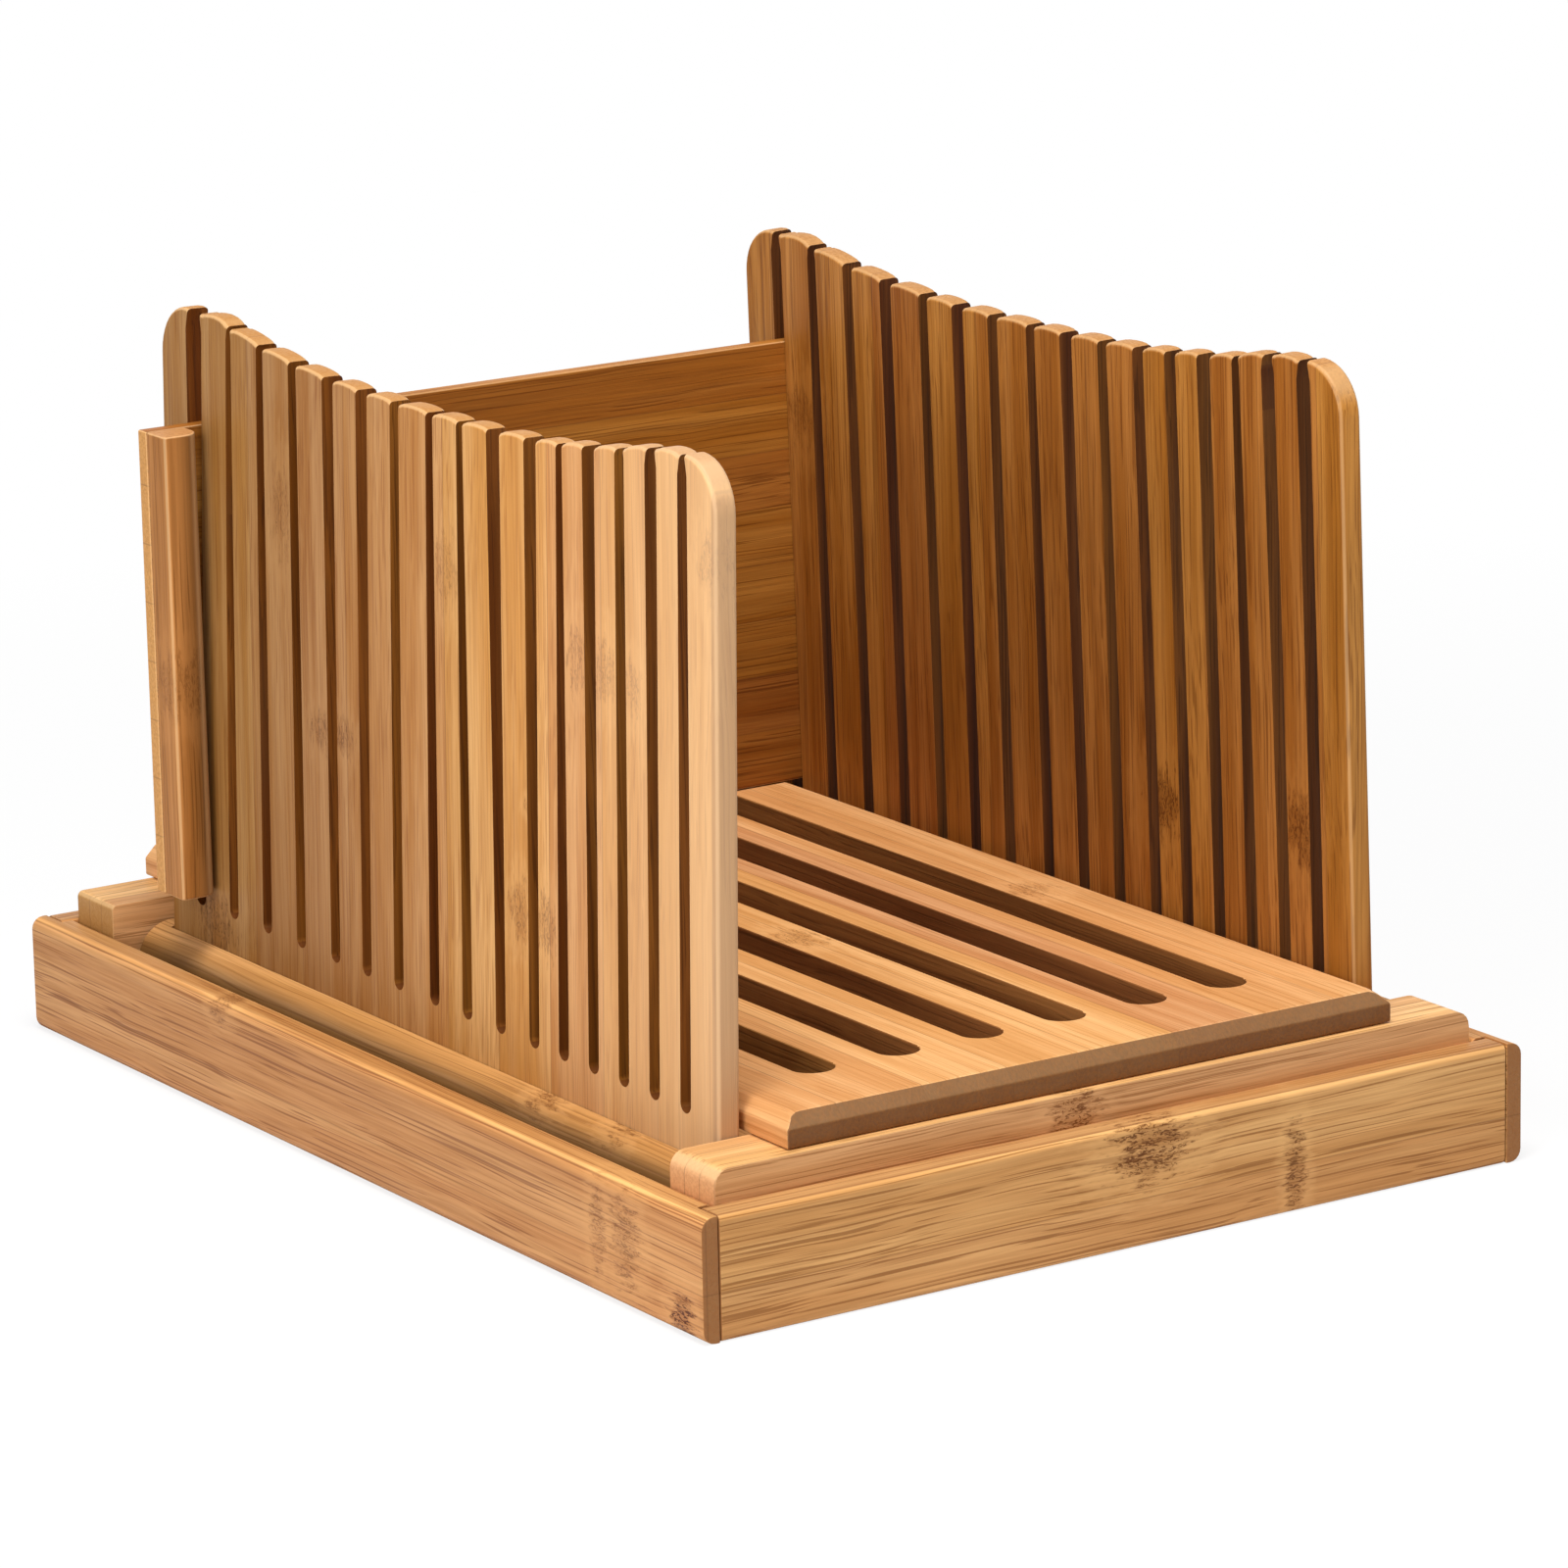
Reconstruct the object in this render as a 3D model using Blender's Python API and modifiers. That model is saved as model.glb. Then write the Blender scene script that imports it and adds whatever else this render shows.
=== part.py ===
"""Bread slicing guide: a crumb tray, a lift-out frame with two slotted guides
that swing on round bars, a loose slotted deck board and a lift-out back stop.

Metres, +Z up, front towards -Y, origin under the middle of the tray.
"""
import math

import bmesh
import bpy
from mathutils import Matrix, Vector

# Clearances
FIT_GAP = 0.0003
TURN_GAP = 0.0005
CUT_OVERRUN = 0.002

# Crumb tray
TRAY_LENGTH = 0.330
TRAY_WIDTH = 0.2402
TRAY_HEIGHT = 0.0306
TRAY_WALL = 0.0085
TRAY_CORNER_STRIP = 0.0045
TRAY_SIDE_ROUND = 0.0032
TRAY_END_ROUND = 0.0015
TRAY_FLOOR_THICKNESS = 0.005
TRAY_FLOOR_LET_IN = 0.0034

# Frame rails
RAIL_SIDE_PLAY = 0.001
RAIL_DEPTH = 0.0194
RAIL_HEIGHT = 0.033
RAIL_TOP_ROUND = 0.0055

# Deck board
DECK_SIDE_GAP = 0.0023
DECK_THICKNESS = 0.0079
DECK_SLID_BACK = 0.0028
DECK_FRONT_ROUND = 0.005
DECK_EDGE_ROUND = 0.001
DECK_SLOT_COUNT = 6
DECK_SLOT_PITCH_SHARE = 0.1375
DECK_SLOT_WIDTH_SHARE = 0.0637
DECK_SLOT_END_MARGIN = 0.026

# Guides
GUIDE_THICKNESS = 0.0062
GUIDE_FACE_INWARD = 0.0034
GUIDE_REAR_SETBACK = 0.0076
GUIDE_TOP = 0.199
GUIDE_DIP = 0.0079
GUIDE_DIP_REACH_SHARE = 0.4
GUIDE_DIP_POWER = 2.6
GUIDE_CORNER_ROUND = 0.013
GUIDE_LEAN_DEGREES = 1.35
KNIFE_SLOT_WIDTH = 0.0046
KNIFE_SLOT_BOTTOM = 0.0413
FIRST_SLOT_SHARE = 0.05386
THIN_SLICE_SHARE = 0.05137
MEDIUM_SLICE_SHARE = 0.05951
THICK_SLICE_SHARE = 0.06629

# Pivot bars and their screws
BAR_RADIUS = 0.010
BAR_AXIS_INSET = 0.0164
BAR_AXIS_Z = 0.0224
BAR_END_GAP = 0.001
BAR_CHAMFER = 0.0006
BAR_GROOVE_FLOOR = 0.004
SCREW_LENGTH = 0.038
SCREW_RADIUS = 0.002
SCREW_TIP = 0.004
SCREW_HEAD_RADIUS = 0.004
SCREW_HEAD_DEPTH = 0.0024
SCREW_RECESS_SPAN = 0.004
SCREW_RECESS_WIDTH = 0.0009
SCREW_RECESS_DEPTH = 0.0012

# Back stop
BOARD_THICKNESS = 0.0044
BOARD_END_INSET = 0.0023
BOARD_TOP = 0.1692
BOARD_SLOT_WIDTH = 0.005
CLEAT_SIDE_GAP = 0.0003
CLEAT_DEPTH = 0.0094
CLEAT_ROUND = 0.005

# Smoothness
ROUND_STEPS = 5
SLOT_END_STEPS = 8
TOP_EDGE_STEPS = 30
BAR_SIDES = 48
SCREW_SIDES = 24

# Places that follow from the sizes above
HALF_LENGTH = TRAY_LENGTH / 2
HALF_WIDTH = TRAY_WIDTH / 2
TRAY_INNER_X = HALF_WIDTH - TRAY_WALL
TRAY_INNER_Y = HALF_LENGTH - TRAY_WALL
RAIL_OUTER_X = TRAY_INNER_X - RAIL_SIDE_PLAY
RAIL_OUTER_Y = TRAY_INNER_Y - FIT_GAP
RAIL_INNER_Y = RAIL_OUTER_Y - RAIL_DEPTH
RAIL_BOTTOM = TRAY_FLOOR_THICKNESS + FIT_GAP
RAIL_TOP = RAIL_BOTTOM + RAIL_HEIGHT
DECK_BOTTOM = RAIL_TOP + FIT_GAP
DECK_TOP = DECK_BOTTOM + DECK_THICKNESS
DECK_FRONT_Y = DECK_SLID_BACK - RAIL_OUTER_Y
DECK_REAR_Y = DECK_SLID_BACK + RAIL_OUTER_Y
BAR_AXIS_X = RAIL_OUTER_X - BAR_AXIS_INSET
GUIDE_INNER_X = BAR_AXIS_X - GUIDE_FACE_INWARD
GUIDE_OUTER_X = GUIDE_INNER_X + GUIDE_THICKNESS
DECK_WIDTH = 2 * (GUIDE_INNER_X - DECK_SIDE_GAP)
GUIDE_FRONT_Y = TURN_GAP - RAIL_INNER_Y
GUIDE_REAR_Y = RAIL_INNER_Y - GUIDE_REAR_SETBACK
GUIDE_LENGTH = GUIDE_REAR_Y - GUIDE_FRONT_Y
GROOVE_FLOOR_Z = BAR_AXIS_Z + BAR_GROOVE_FLOOR
GUIDE_BOTTOM = GROOVE_FLOOR_Z + FIT_GAP
BAR_END_Y = RAIL_INNER_Y - BAR_END_GAP
SCREW_HEAD_Y = RAIL_OUTER_Y - TURN_GAP
BOARD_BOTTOM = DECK_TOP + FIT_GAP
BOARD_END_X = RAIL_OUTER_X - BOARD_END_INSET

# Slice thicknesses from the front: five thin, three medium, one thick, two medium, four thick
SLICE_SHARES = (
    [THIN_SLICE_SHARE] * 5
    + [MEDIUM_SLICE_SHARE] * 3
    + [THICK_SLICE_SHARE]
    + [MEDIUM_SLICE_SHARE] * 2
    + [THICK_SLICE_SHARE] * 4
)


def knife_slot_places():
    """Middles of the knife slots along the guide, from the front to the back stop's slot."""
    places = [GUIDE_FRONT_Y + FIRST_SLOT_SHARE * GUIDE_LENGTH]
    for share in SLICE_SHARES:
        places.append(places[-1] + share * GUIDE_LENGTH)
    return places


BOARD_SLOT_Y = knife_slot_places()[-1]
BOARD_FRONT_Y = BOARD_SLOT_Y - BOARD_THICKNESS / 2


def clear_scene():
    for old in list(bpy.data.objects):
        bpy.data.objects.remove(old, do_unlink=True)


def new_collection(name):
    made = bpy.data.collections.new(name)
    bpy.context.scene.collection.children.link(made)
    return made


def plain_material(name, colour, roughness, metallic):
    material = bpy.data.materials.new(name)
    material.use_nodes = True
    shader = material.node_tree.nodes["Principled BSDF"]
    shader.inputs["Base Color"].default_value = (*colour, 1.0)
    shader.inputs["Roughness"].default_value = roughness
    shader.inputs["Metallic"].default_value = metallic
    return material


def tray_bamboo(name):
    return plain_material(name, (0.60, 0.34, 0.13), 0.48, 0.0)


def frame_bamboo(name):
    return plain_material(name, (0.56, 0.31, 0.12), 0.46, 0.0)


def deck_bamboo(name):
    return plain_material(name, (0.62, 0.34, 0.13), 0.42, 0.0)


def guide_bamboo(name):
    return plain_material(name, (0.64, 0.36, 0.15), 0.44, 0.0)


def board_bamboo(name):
    return plain_material(name, (0.52, 0.28, 0.10), 0.46, 0.0)


def screw_steel(name):
    return plain_material(name, (0.55, 0.54, 0.52), 0.35, 1.0)


def empty_at(name, place, parent, home):
    """A marker on a joint's axis or on the seat of a piece that lifts off."""
    marker = bpy.data.objects.new(name, None)
    marker.empty_display_size = TRAY_HEIGHT
    home.objects.link(marker)
    put(marker, place, parent)
    return marker


def put(piece, place, parent):
    """Parent a piece and set it so that its origin is at a place in the object's frame."""
    piece.parent = parent
    above = Vector((0, 0, 0))
    while parent is not None:
        above += parent.location
        parent = parent.parent
    piece.location = Vector(place) - above


def round_corner(before, corner, after, radius):
    """Points of the arc that rounds one corner of an outline."""
    corner = Vector(corner)
    into = (Vector(before) - corner).normalized()
    out = (Vector(after) - corner).normalized()
    half_angle = into.angle(out) / 2
    reach = radius / math.tan(half_angle)
    centre = corner + (into + out).normalized() * (radius / math.sin(half_angle))
    start = (corner + into * reach - centre).normalized()
    end = (corner + out * reach - centre).normalized()
    points = []
    for step in range(ROUND_STEPS + 1):
        points.append(centre + radius * start.slerp(end, step / ROUND_STEPS))
    return [tuple(point) for point in points]


def outline(corners):
    """Outline from corners (u, v, radius); radius 0 leaves the corner sharp."""
    points = []
    count = len(corners)
    for index, (u, v, radius) in enumerate(corners):
        if radius == 0:
            points.append((u, v))
            continue
        before = corners[index - 1][:2]
        after = corners[(index + 1) % count][:2]
        points.extend(round_corner(before, (u, v), after, radius))
    return points


def rectangle(low, high):
    return [(low[0], low[1], 0), (high[0], low[1], 0), (high[0], high[1], 0), (low[0], high[1], 0)]


AXES = {
    "X": Matrix(((0, 0, 1), (1, 0, 0), (0, 1, 0))),
    "Y": Matrix(((1, 0, 0), (0, 0, -1), (0, 1, 0))),
    "Z": Matrix(((1, 0, 0), (0, 1, 0), (0, 0, 1))),
}


def plate_mesh(name, outlines, thickness, axis):
    """Closed mesh of flat outlines given the same thickness, half to each side of zero."""
    curve = bpy.data.curves.new(name, "CURVE")
    curve.dimensions = "2D"
    curve.fill_mode = "BOTH"
    curve.extrude = thickness / 2
    for points in outlines:
        spline = curve.splines.new("POLY")
        spline.points.add(len(points) - 1)
        for place, (u, v) in zip(spline.points, points):
            place.co = (u, v, 0, 1)
        spline.use_cyclic_u = True
    holder = bpy.data.objects.new(name, curve)
    bpy.context.scene.collection.objects.link(holder)
    bpy.context.view_layer.update()
    evaluated = holder.evaluated_get(bpy.context.evaluated_depsgraph_get())
    mesh = bpy.data.meshes.new_from_object(evaluated)
    bpy.data.objects.remove(holder, do_unlink=True)
    bpy.data.curves.remove(curve)
    work = bmesh.new()
    work.from_mesh(mesh)
    bmesh.ops.remove_doubles(work, verts=work.verts, dist=FIT_GAP / 100)
    bmesh.ops.transform(work, matrix=AXES[axis].to_4x4(), verts=work.verts)
    bmesh.ops.recalc_face_normals(work, faces=work.faces)
    work.to_mesh(mesh)
    work.free()
    mesh.name = name
    return mesh


def plate(name, outlines, thickness, axis, place, parent, material, home):
    """One flat-outlined piece; its origin is at place, in the middle of its thickness."""
    piece = bpy.data.objects.new(name, plate_mesh(name, outlines, thickness, axis))
    home.objects.link(piece)
    put(piece, place, parent)
    piece.data.materials.append(material)
    return piece


def turned(name, profile, sides, place, rotation, parent, home):
    """One turned piece from a profile (radius, height), top to bottom, about its own Z."""
    mesh = bpy.data.meshes.new(name)
    points = [(radius, 0, height) for radius, height in profile]
    edges = [(index, index + 1) for index in range(len(points) - 1)]
    mesh.from_pydata(points, edges, [])
    piece = bpy.data.objects.new(name, mesh)
    home.objects.link(piece)
    screw = piece.modifiers.new("turn", "SCREW")
    screw.axis = "Z"
    screw.steps = sides
    screw.render_steps = sides
    screw.use_merge_vertices = True
    screw.merge_threshold = FIT_GAP / 100
    screw.use_normal_calculate = True
    put(piece, place, parent)
    piece.rotation_euler = rotation
    return piece


def as_cutter(piece, cutters):
    for home in list(piece.users_collection):
        home.objects.unlink(piece)
    cutters.objects.link(piece)
    piece.hide_render = True
    piece.display_type = "WIRE"
    return piece


def cut(piece, cutter):
    boolean = piece.modifiers.new(cutter.name, "BOOLEAN")
    boolean.operation = "DIFFERENCE"
    boolean.solver = "EXACT"
    boolean.object = cutter


def box_cutter(name, low, high, parent, cutters):
    """Straight cutter between two corners; it goes where its parent goes."""
    middle = [(a + b) / 2 for a, b in zip(low, high)]
    sizes = [b - a for a, b in zip(low, high)]
    mesh = bpy.data.meshes.new(name)
    work = bmesh.new()
    bmesh.ops.create_cube(work, size=1)
    bmesh.ops.scale(work, vec=sizes, verts=work.verts)
    work.to_mesh(mesh)
    work.free()
    piece = bpy.data.objects.new(name, mesh)
    cutters.objects.link(piece)
    put(piece, middle, parent)
    return as_cutter(piece, cutters)


def tray_side(side, sign, root, home, cutters):
    """Long wall: rounded outer edges, a rabbet below for the floor, laps at both ends."""
    outer = sign * TRAY_WALL / 2
    inner = -outer
    let_in = inner + sign * TRAY_FLOOR_LET_IN
    step = TRAY_FLOOR_THICKNESS + FIT_GAP
    corners = [
        (outer, 0, TRAY_SIDE_ROUND),
        (let_in, 0, 0),
        (let_in, step, 0),
        (inner, step, 0),
        (inner, TRAY_HEIGHT, TRAY_END_ROUND),
        (outer, TRAY_HEIGHT, TRAY_SIDE_ROUND),
    ]
    middle_x = sign * (HALF_WIDTH - TRAY_WALL / 2)
    name = "tray_%s_wall" % side
    material = tray_bamboo(name + "_bamboo")
    piece = plate(name, [outline(corners)], TRAY_LENGTH, "Y", (middle_x, 0, 0), root, material, home)
    lap_x = sign * (HALF_WIDTH - TRAY_CORNER_STRIP)
    clear_x = sign * (TRAY_INNER_X - CUT_OVERRUN)
    for end, way in (("front", -1), ("rear", 1)):
        lap_y = way * (TRAY_INNER_Y - FIT_GAP)
        clear_y = way * (HALF_LENGTH + CUT_OVERRUN)
        low = (min(lap_x, clear_x), min(lap_y, clear_y), -CUT_OVERRUN)
        high = (max(lap_x, clear_x), max(lap_y, clear_y), TRAY_HEIGHT + CUT_OVERRUN)
        cut(piece, box_cutter("%s_%s_lap_cut" % (name, end), low, high, root, cutters))
    return piece


def tray_end(end, way, root, home):
    """Short wall: sits in the laps of the long walls, rabbeted below for the floor."""
    outer = way * TRAY_WALL / 2
    inner = -outer
    let_in = inner + way * TRAY_FLOOR_LET_IN
    step = TRAY_FLOOR_THICKNESS + FIT_GAP
    corners = [
        (outer, 0, TRAY_END_ROUND),
        (let_in, 0, 0),
        (let_in, step, 0),
        (inner, step, 0),
        (inner, TRAY_HEIGHT, TRAY_END_ROUND),
        (outer, TRAY_HEIGHT, TRAY_END_ROUND),
    ]
    width = 2 * (HALF_WIDTH - TRAY_CORNER_STRIP - FIT_GAP)
    place = (0, way * (HALF_LENGTH - TRAY_WALL / 2), 0)
    name = "tray_%s_wall" % end
    material = tray_bamboo(name + "_bamboo")
    return plate(name, [outline(corners)], width, "X", place, root, material, home)


def tray_floor(root, home):
    """Floor panel, let into the four walls from below."""
    half_x = TRAY_INNER_X + TRAY_FLOOR_LET_IN - FIT_GAP
    half_y = TRAY_INNER_Y + TRAY_FLOOR_LET_IN - FIT_GAP
    edge = outline(rectangle((-half_x, -half_y), (half_x, half_y)))
    place = (0, 0, TRAY_FLOOR_THICKNESS / 2)
    material = tray_bamboo("tray_floor_bamboo")
    return plate("tray_floor", [edge], TRAY_FLOOR_THICKNESS, "Z", place, root, material, home)


def screw_flank(grow):
    return [
        (SCREW_HEAD_RADIUS + grow, 0),
        (SCREW_RADIUS + grow, -SCREW_HEAD_DEPTH),
        (SCREW_RADIUS + grow, SCREW_TIP - SCREW_LENGTH),
    ]


def screw_profile():
    """Countersunk screw from the middle of its head down to its tip."""
    return [(0, 0)] + screw_flank(0) + [(0, -SCREW_LENGTH)]


def screw_hole_profile():
    """The hole that the screw sits in, open above the head and flat at the bottom."""
    mouth = [(0, CUT_OVERRUN), (SCREW_HEAD_RADIUS + FIT_GAP, CUT_OVERRUN)]
    floor = -SCREW_LENGTH - FIT_GAP
    return mouth + screw_flank(FIT_GAP) + [(SCREW_RADIUS + FIT_GAP, floor), (0, floor)]


def screw_place(sign, way):
    return (sign * BAR_AXIS_X, way * SCREW_HEAD_Y, BAR_AXIS_Z)


def screw_hole_cutter(name, sign, way, parent, cutters, home):
    turn = (-way * math.pi / 2, 0, 0)
    hole = turned(name, screw_hole_profile(), SCREW_SIDES, screw_place(sign, way), turn, parent, home)
    return as_cutter(hole, cutters)


def rail(end, way, frame, home, cutters):
    """Cross rail of the lift-out frame, drilled and countersunk for the pivot screws."""
    corners = [
        (-RAIL_OUTER_X, 0, TRAY_END_ROUND),
        (RAIL_OUTER_X, 0, TRAY_END_ROUND),
        (RAIL_OUTER_X, RAIL_HEIGHT, RAIL_TOP_ROUND),
        (-RAIL_OUTER_X, RAIL_HEIGHT, RAIL_TOP_ROUND),
    ]
    place = (0, way * (RAIL_INNER_Y + RAIL_DEPTH / 2), RAIL_BOTTOM)
    name = "%s_rail" % end
    material = frame_bamboo(name + "_bamboo")
    piece = plate(name, [outline(corners)], RAIL_DEPTH, "Y", place, frame, material, home)
    for side, sign in (("left", -1), ("right", 1)):
        hole_name = "%s_%s_screw_hole_cut" % (name, side)
        cut(piece, screw_hole_cutter(hole_name, sign, way, frame, cutters, home))
    return piece


def stadium(middle, half_span, radius):
    """Outline of a slot along v with round ends."""
    points = []
    for way in (1, -1):
        for step in range(SLOT_END_STEPS + 1):
            angle = math.pi * step / SLOT_END_STEPS
            u = way * radius * math.cos(angle)
            v = way * (half_span - radius + radius * math.sin(angle))
            points.append((middle + u, v))
    return points


def deck_board(deck, home, cutters):
    """Slotted board that lies loose on the rails, its front top edge well rounded."""
    length = DECK_REAR_Y - DECK_FRONT_Y
    half = length / 2
    corners = [
        (-half, 0, DECK_EDGE_ROUND),
        (half, 0, DECK_EDGE_ROUND),
        (half, DECK_THICKNESS, DECK_EDGE_ROUND),
        (-half, DECK_THICKNESS, DECK_FRONT_ROUND),
    ]
    place = (0, DECK_SLID_BACK, DECK_BOTTOM)
    material = deck_bamboo("deck_board_bamboo")
    piece = plate("deck_board", [outline(corners)], DECK_WIDTH, "X", place, deck, material, home)
    slots = []
    for index in range(DECK_SLOT_COUNT):
        middle = (index - (DECK_SLOT_COUNT - 1) / 2) * DECK_SLOT_PITCH_SHARE * DECK_WIDTH
        radius = DECK_SLOT_WIDTH_SHARE * DECK_WIDTH / 2
        slots.append(stadium(middle, half - DECK_SLOT_END_MARGIN, radius))
    through = DECK_THICKNESS + 2 * CUT_OVERRUN
    mesh = plate_mesh("deck_slots_cut", slots, through, "Z")
    cutter = bpy.data.objects.new("deck_slots_cut", mesh)
    home.objects.link(cutter)
    put(cutter, (0, DECK_SLID_BACK, DECK_BOTTOM + DECK_THICKNESS / 2), deck)
    cut(piece, as_cutter(cutter, cutters))
    return piece


def guide_top(y):
    """Height of the guide's hollowed top edge at a place along it."""
    middle = (GUIDE_FRONT_Y + GUIDE_REAR_Y) / 2
    share = min(1.0, abs(y - middle) / (GUIDE_DIP_REACH_SHARE * GUIDE_LENGTH))
    return GUIDE_TOP - GUIDE_DIP * (1 - share ** GUIDE_DIP_POWER)


def guide_outline():
    """Side view (y, z) of a guide before its slots are sawn."""
    corners = [
        (GUIDE_FRONT_Y, GUIDE_BOTTOM, 0),
        (GUIDE_REAR_Y, GUIDE_BOTTOM, 0),
        (GUIDE_REAR_Y, GUIDE_TOP, GUIDE_CORNER_ROUND),
    ]
    start = GUIDE_REAR_Y - GUIDE_CORNER_ROUND
    end = GUIDE_FRONT_Y + GUIDE_CORNER_ROUND
    for step in range(1, TOP_EDGE_STEPS):
        y = start + (end - start) * step / TOP_EDGE_STEPS
        corners.append((y, guide_top(y), 0))
    corners.append((GUIDE_FRONT_Y, GUIDE_TOP, GUIDE_CORNER_ROUND))
    return outline(corners)


def knife_slot(middle, width):
    """Outline (y, z) of a sawn slot, round at the bottom and open above."""
    radius = width / 2
    top = GUIDE_TOP + CUT_OVERRUN
    points = [(middle + radius, top), (middle - radius, top)]
    for step in range(SLOT_END_STEPS + 1):
        angle = math.pi * (1 + step / SLOT_END_STEPS)
        u = middle + radius * math.cos(angle)
        v = KNIFE_SLOT_BOTTOM + radius + radius * math.sin(angle)
        points.append((u, v))
    return points


def guide(side, sign, axis, home, cutters):
    """Slotted guide; its lower edge stands in the groove of the pivot bar."""
    middle_x = sign * (GUIDE_INNER_X + GUIDE_THICKNESS / 2)
    name = "%s_guide" % side
    place = (middle_x, 0, 0)
    material = guide_bamboo(name + "_bamboo")
    piece = plate(name, [guide_outline()], GUIDE_THICKNESS, "X", place, axis, material, home)
    slots = []
    for middle in knife_slot_places():
        width = BOARD_SLOT_WIDTH if middle == BOARD_SLOT_Y else KNIFE_SLOT_WIDTH
        slots.append(knife_slot(middle, width))
    through = GUIDE_THICKNESS + 2 * CUT_OVERRUN
    cutter_name = name + "_slots_cut"
    cutter = bpy.data.objects.new(cutter_name, plate_mesh(cutter_name, slots, through, "X"))
    home.objects.link(cutter)
    put(cutter, place, axis)
    cut(piece, as_cutter(cutter, cutters))
    return piece


def pivot_bar(side, sign, axis, home, cutters):
    """Round bar between the rails: grooved for the guide, drilled for the screws."""
    name = "%s_pivot_bar" % side
    profile = [
        (0, BAR_END_Y),
        (BAR_RADIUS - BAR_CHAMFER, BAR_END_Y),
        (BAR_RADIUS, BAR_END_Y - BAR_CHAMFER),
        (BAR_RADIUS, BAR_CHAMFER - BAR_END_Y),
        (BAR_RADIUS - BAR_CHAMFER, -BAR_END_Y),
        (0, -BAR_END_Y),
    ]
    place = (sign * BAR_AXIS_X, 0, BAR_AXIS_Z)
    piece = turned(name, profile, BAR_SIDES, place, (math.pi / 2, 0, 0), axis, home)
    piece.data.materials.append(frame_bamboo(name + "_bamboo"))
    edges = (sign * (GUIDE_INNER_X - FIT_GAP), sign * (GUIDE_OUTER_X + FIT_GAP))
    low = (min(edges), -BAR_END_Y - CUT_OVERRUN, GROOVE_FLOOR_Z)
    high = (max(edges), GUIDE_REAR_Y + FIT_GAP, BAR_AXIS_Z + BAR_RADIUS + CUT_OVERRUN)
    cut(piece, box_cutter(name + "_groove_cut", low, high, axis, cutters))
    for end, way in (("front", -1), ("rear", 1)):
        hole_name = "%s_%s_hole_cut" % (name, end)
        cut(piece, screw_hole_cutter(hole_name, sign, way, axis, cutters, home))
    return piece


def pivot_screw(side, sign, end, way, axis, home, cutters):
    """Countersunk screw that holds the bar's end to the rail and lets it turn."""
    name = "%s_%s_pivot_screw" % (side, end)
    turn = (-way * math.pi / 2, 0, 0)
    piece = turned(name, screw_profile(), SCREW_SIDES, screw_place(sign, way), turn, axis, home)
    piece.data.materials.append(screw_steel(name + "_steel"))
    x, y, z = screw_place(sign, way)
    depth_in = y - way * SCREW_RECESS_DEPTH
    depth_out = y + way * CUT_OVERRUN
    for arm, (half_x, half_z) in (
        ("flat", (SCREW_RECESS_SPAN / 2, SCREW_RECESS_WIDTH / 2)),
        ("upright", (SCREW_RECESS_WIDTH / 2, SCREW_RECESS_SPAN / 2)),
    ):
        low = (x - half_x, min(depth_in, depth_out), z - half_z)
        high = (x + half_x, max(depth_in, depth_out), z + half_z)
        cut(piece, box_cutter("%s_%s_recess_cut" % (name, arm), low, high, axis, cutters))
    return piece


def swinging_guide(side, sign, frame, home, cutters):
    """Everything that swings about one bar's axis, made upright and then leant inward."""
    place = (sign * BAR_AXIS_X, 0, BAR_AXIS_Z)
    axis = empty_at("%s_guide_axis" % side, place, frame, home)
    guide(side, sign, axis, home, cutters)
    pivot_bar(side, sign, axis, home, cutters)
    pivot_screw(side, sign, "front", -1, axis, home, cutters)
    pivot_screw(side, sign, "rear", 1, axis, home, cutters)
    axis.rotation_euler = (0, -sign * math.radians(GUIDE_LEAN_DEGREES), 0)


def back_board(seat, home):
    """Thin board that stands in the rearmost slots and stops the loaf."""
    edge = outline(rectangle((-BOARD_END_X, BOARD_BOTTOM), (BOARD_END_X, BOARD_TOP)))
    place = (0, BOARD_SLOT_Y, 0)
    material = board_bamboo("back_board_bamboo")
    return plate("back_board", [edge], BOARD_THICKNESS, "Y", place, seat, material, home)


def cleat(side, sign, seat, home):
    """Upright strip on the board's end, outside the guide, its inner front edge rounded."""
    outer = sign * BOARD_END_X
    inner = sign * (GUIDE_OUTER_X + CLEAT_SIDE_GAP)
    rear = BOARD_FRONT_Y - FIT_GAP
    front = rear - CLEAT_DEPTH
    corners = [
        (outer, rear, 0),
        (outer, front, DECK_EDGE_ROUND),
        (inner, front, CLEAT_ROUND),
        (inner, rear, 0),
    ]
    height = BOARD_TOP - BOARD_BOTTOM
    place = (0, 0, BOARD_BOTTOM + height / 2)
    name = "%s_cleat" % side
    material = board_bamboo(name + "_bamboo")
    return plate(name, [outline(corners)], height, "Z", place, seat, material, home)


def build():
    clear_scene()
    home = new_collection("bread_slicing_guide")
    cutters = new_collection("cutters")
    tray = empty_at("tray_origin", (0, 0, 0), None, home)
    tray_side("left", -1, tray, home, cutters)
    tray_side("right", 1, tray, home, cutters)
    tray_end("front", -1, tray, home)
    tray_end("rear", 1, tray, home)
    tray_floor(tray, home)
    frame = empty_at("frame_seat", (0, 0, RAIL_BOTTOM), tray, home)
    rail("front", -1, frame, home, cutters)
    rail("rear", 1, frame, home, cutters)
    swinging_guide("left", -1, frame, home, cutters)
    swinging_guide("right", 1, frame, home, cutters)
    deck = empty_at("deck_seat", (0, 0, DECK_BOTTOM), frame, home)
    deck_board(deck, home, cutters)
    seat = empty_at("back_stop_seat", (0, BOARD_SLOT_Y, BOARD_BOTTOM), frame, home)
    back_board(seat, home)
    cleat("left", -1, seat, home)
    cleat("right", 1, seat, home)


build()
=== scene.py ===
import math

import bmesh
import bpy
from mathutils import Matrix, Vector


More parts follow.
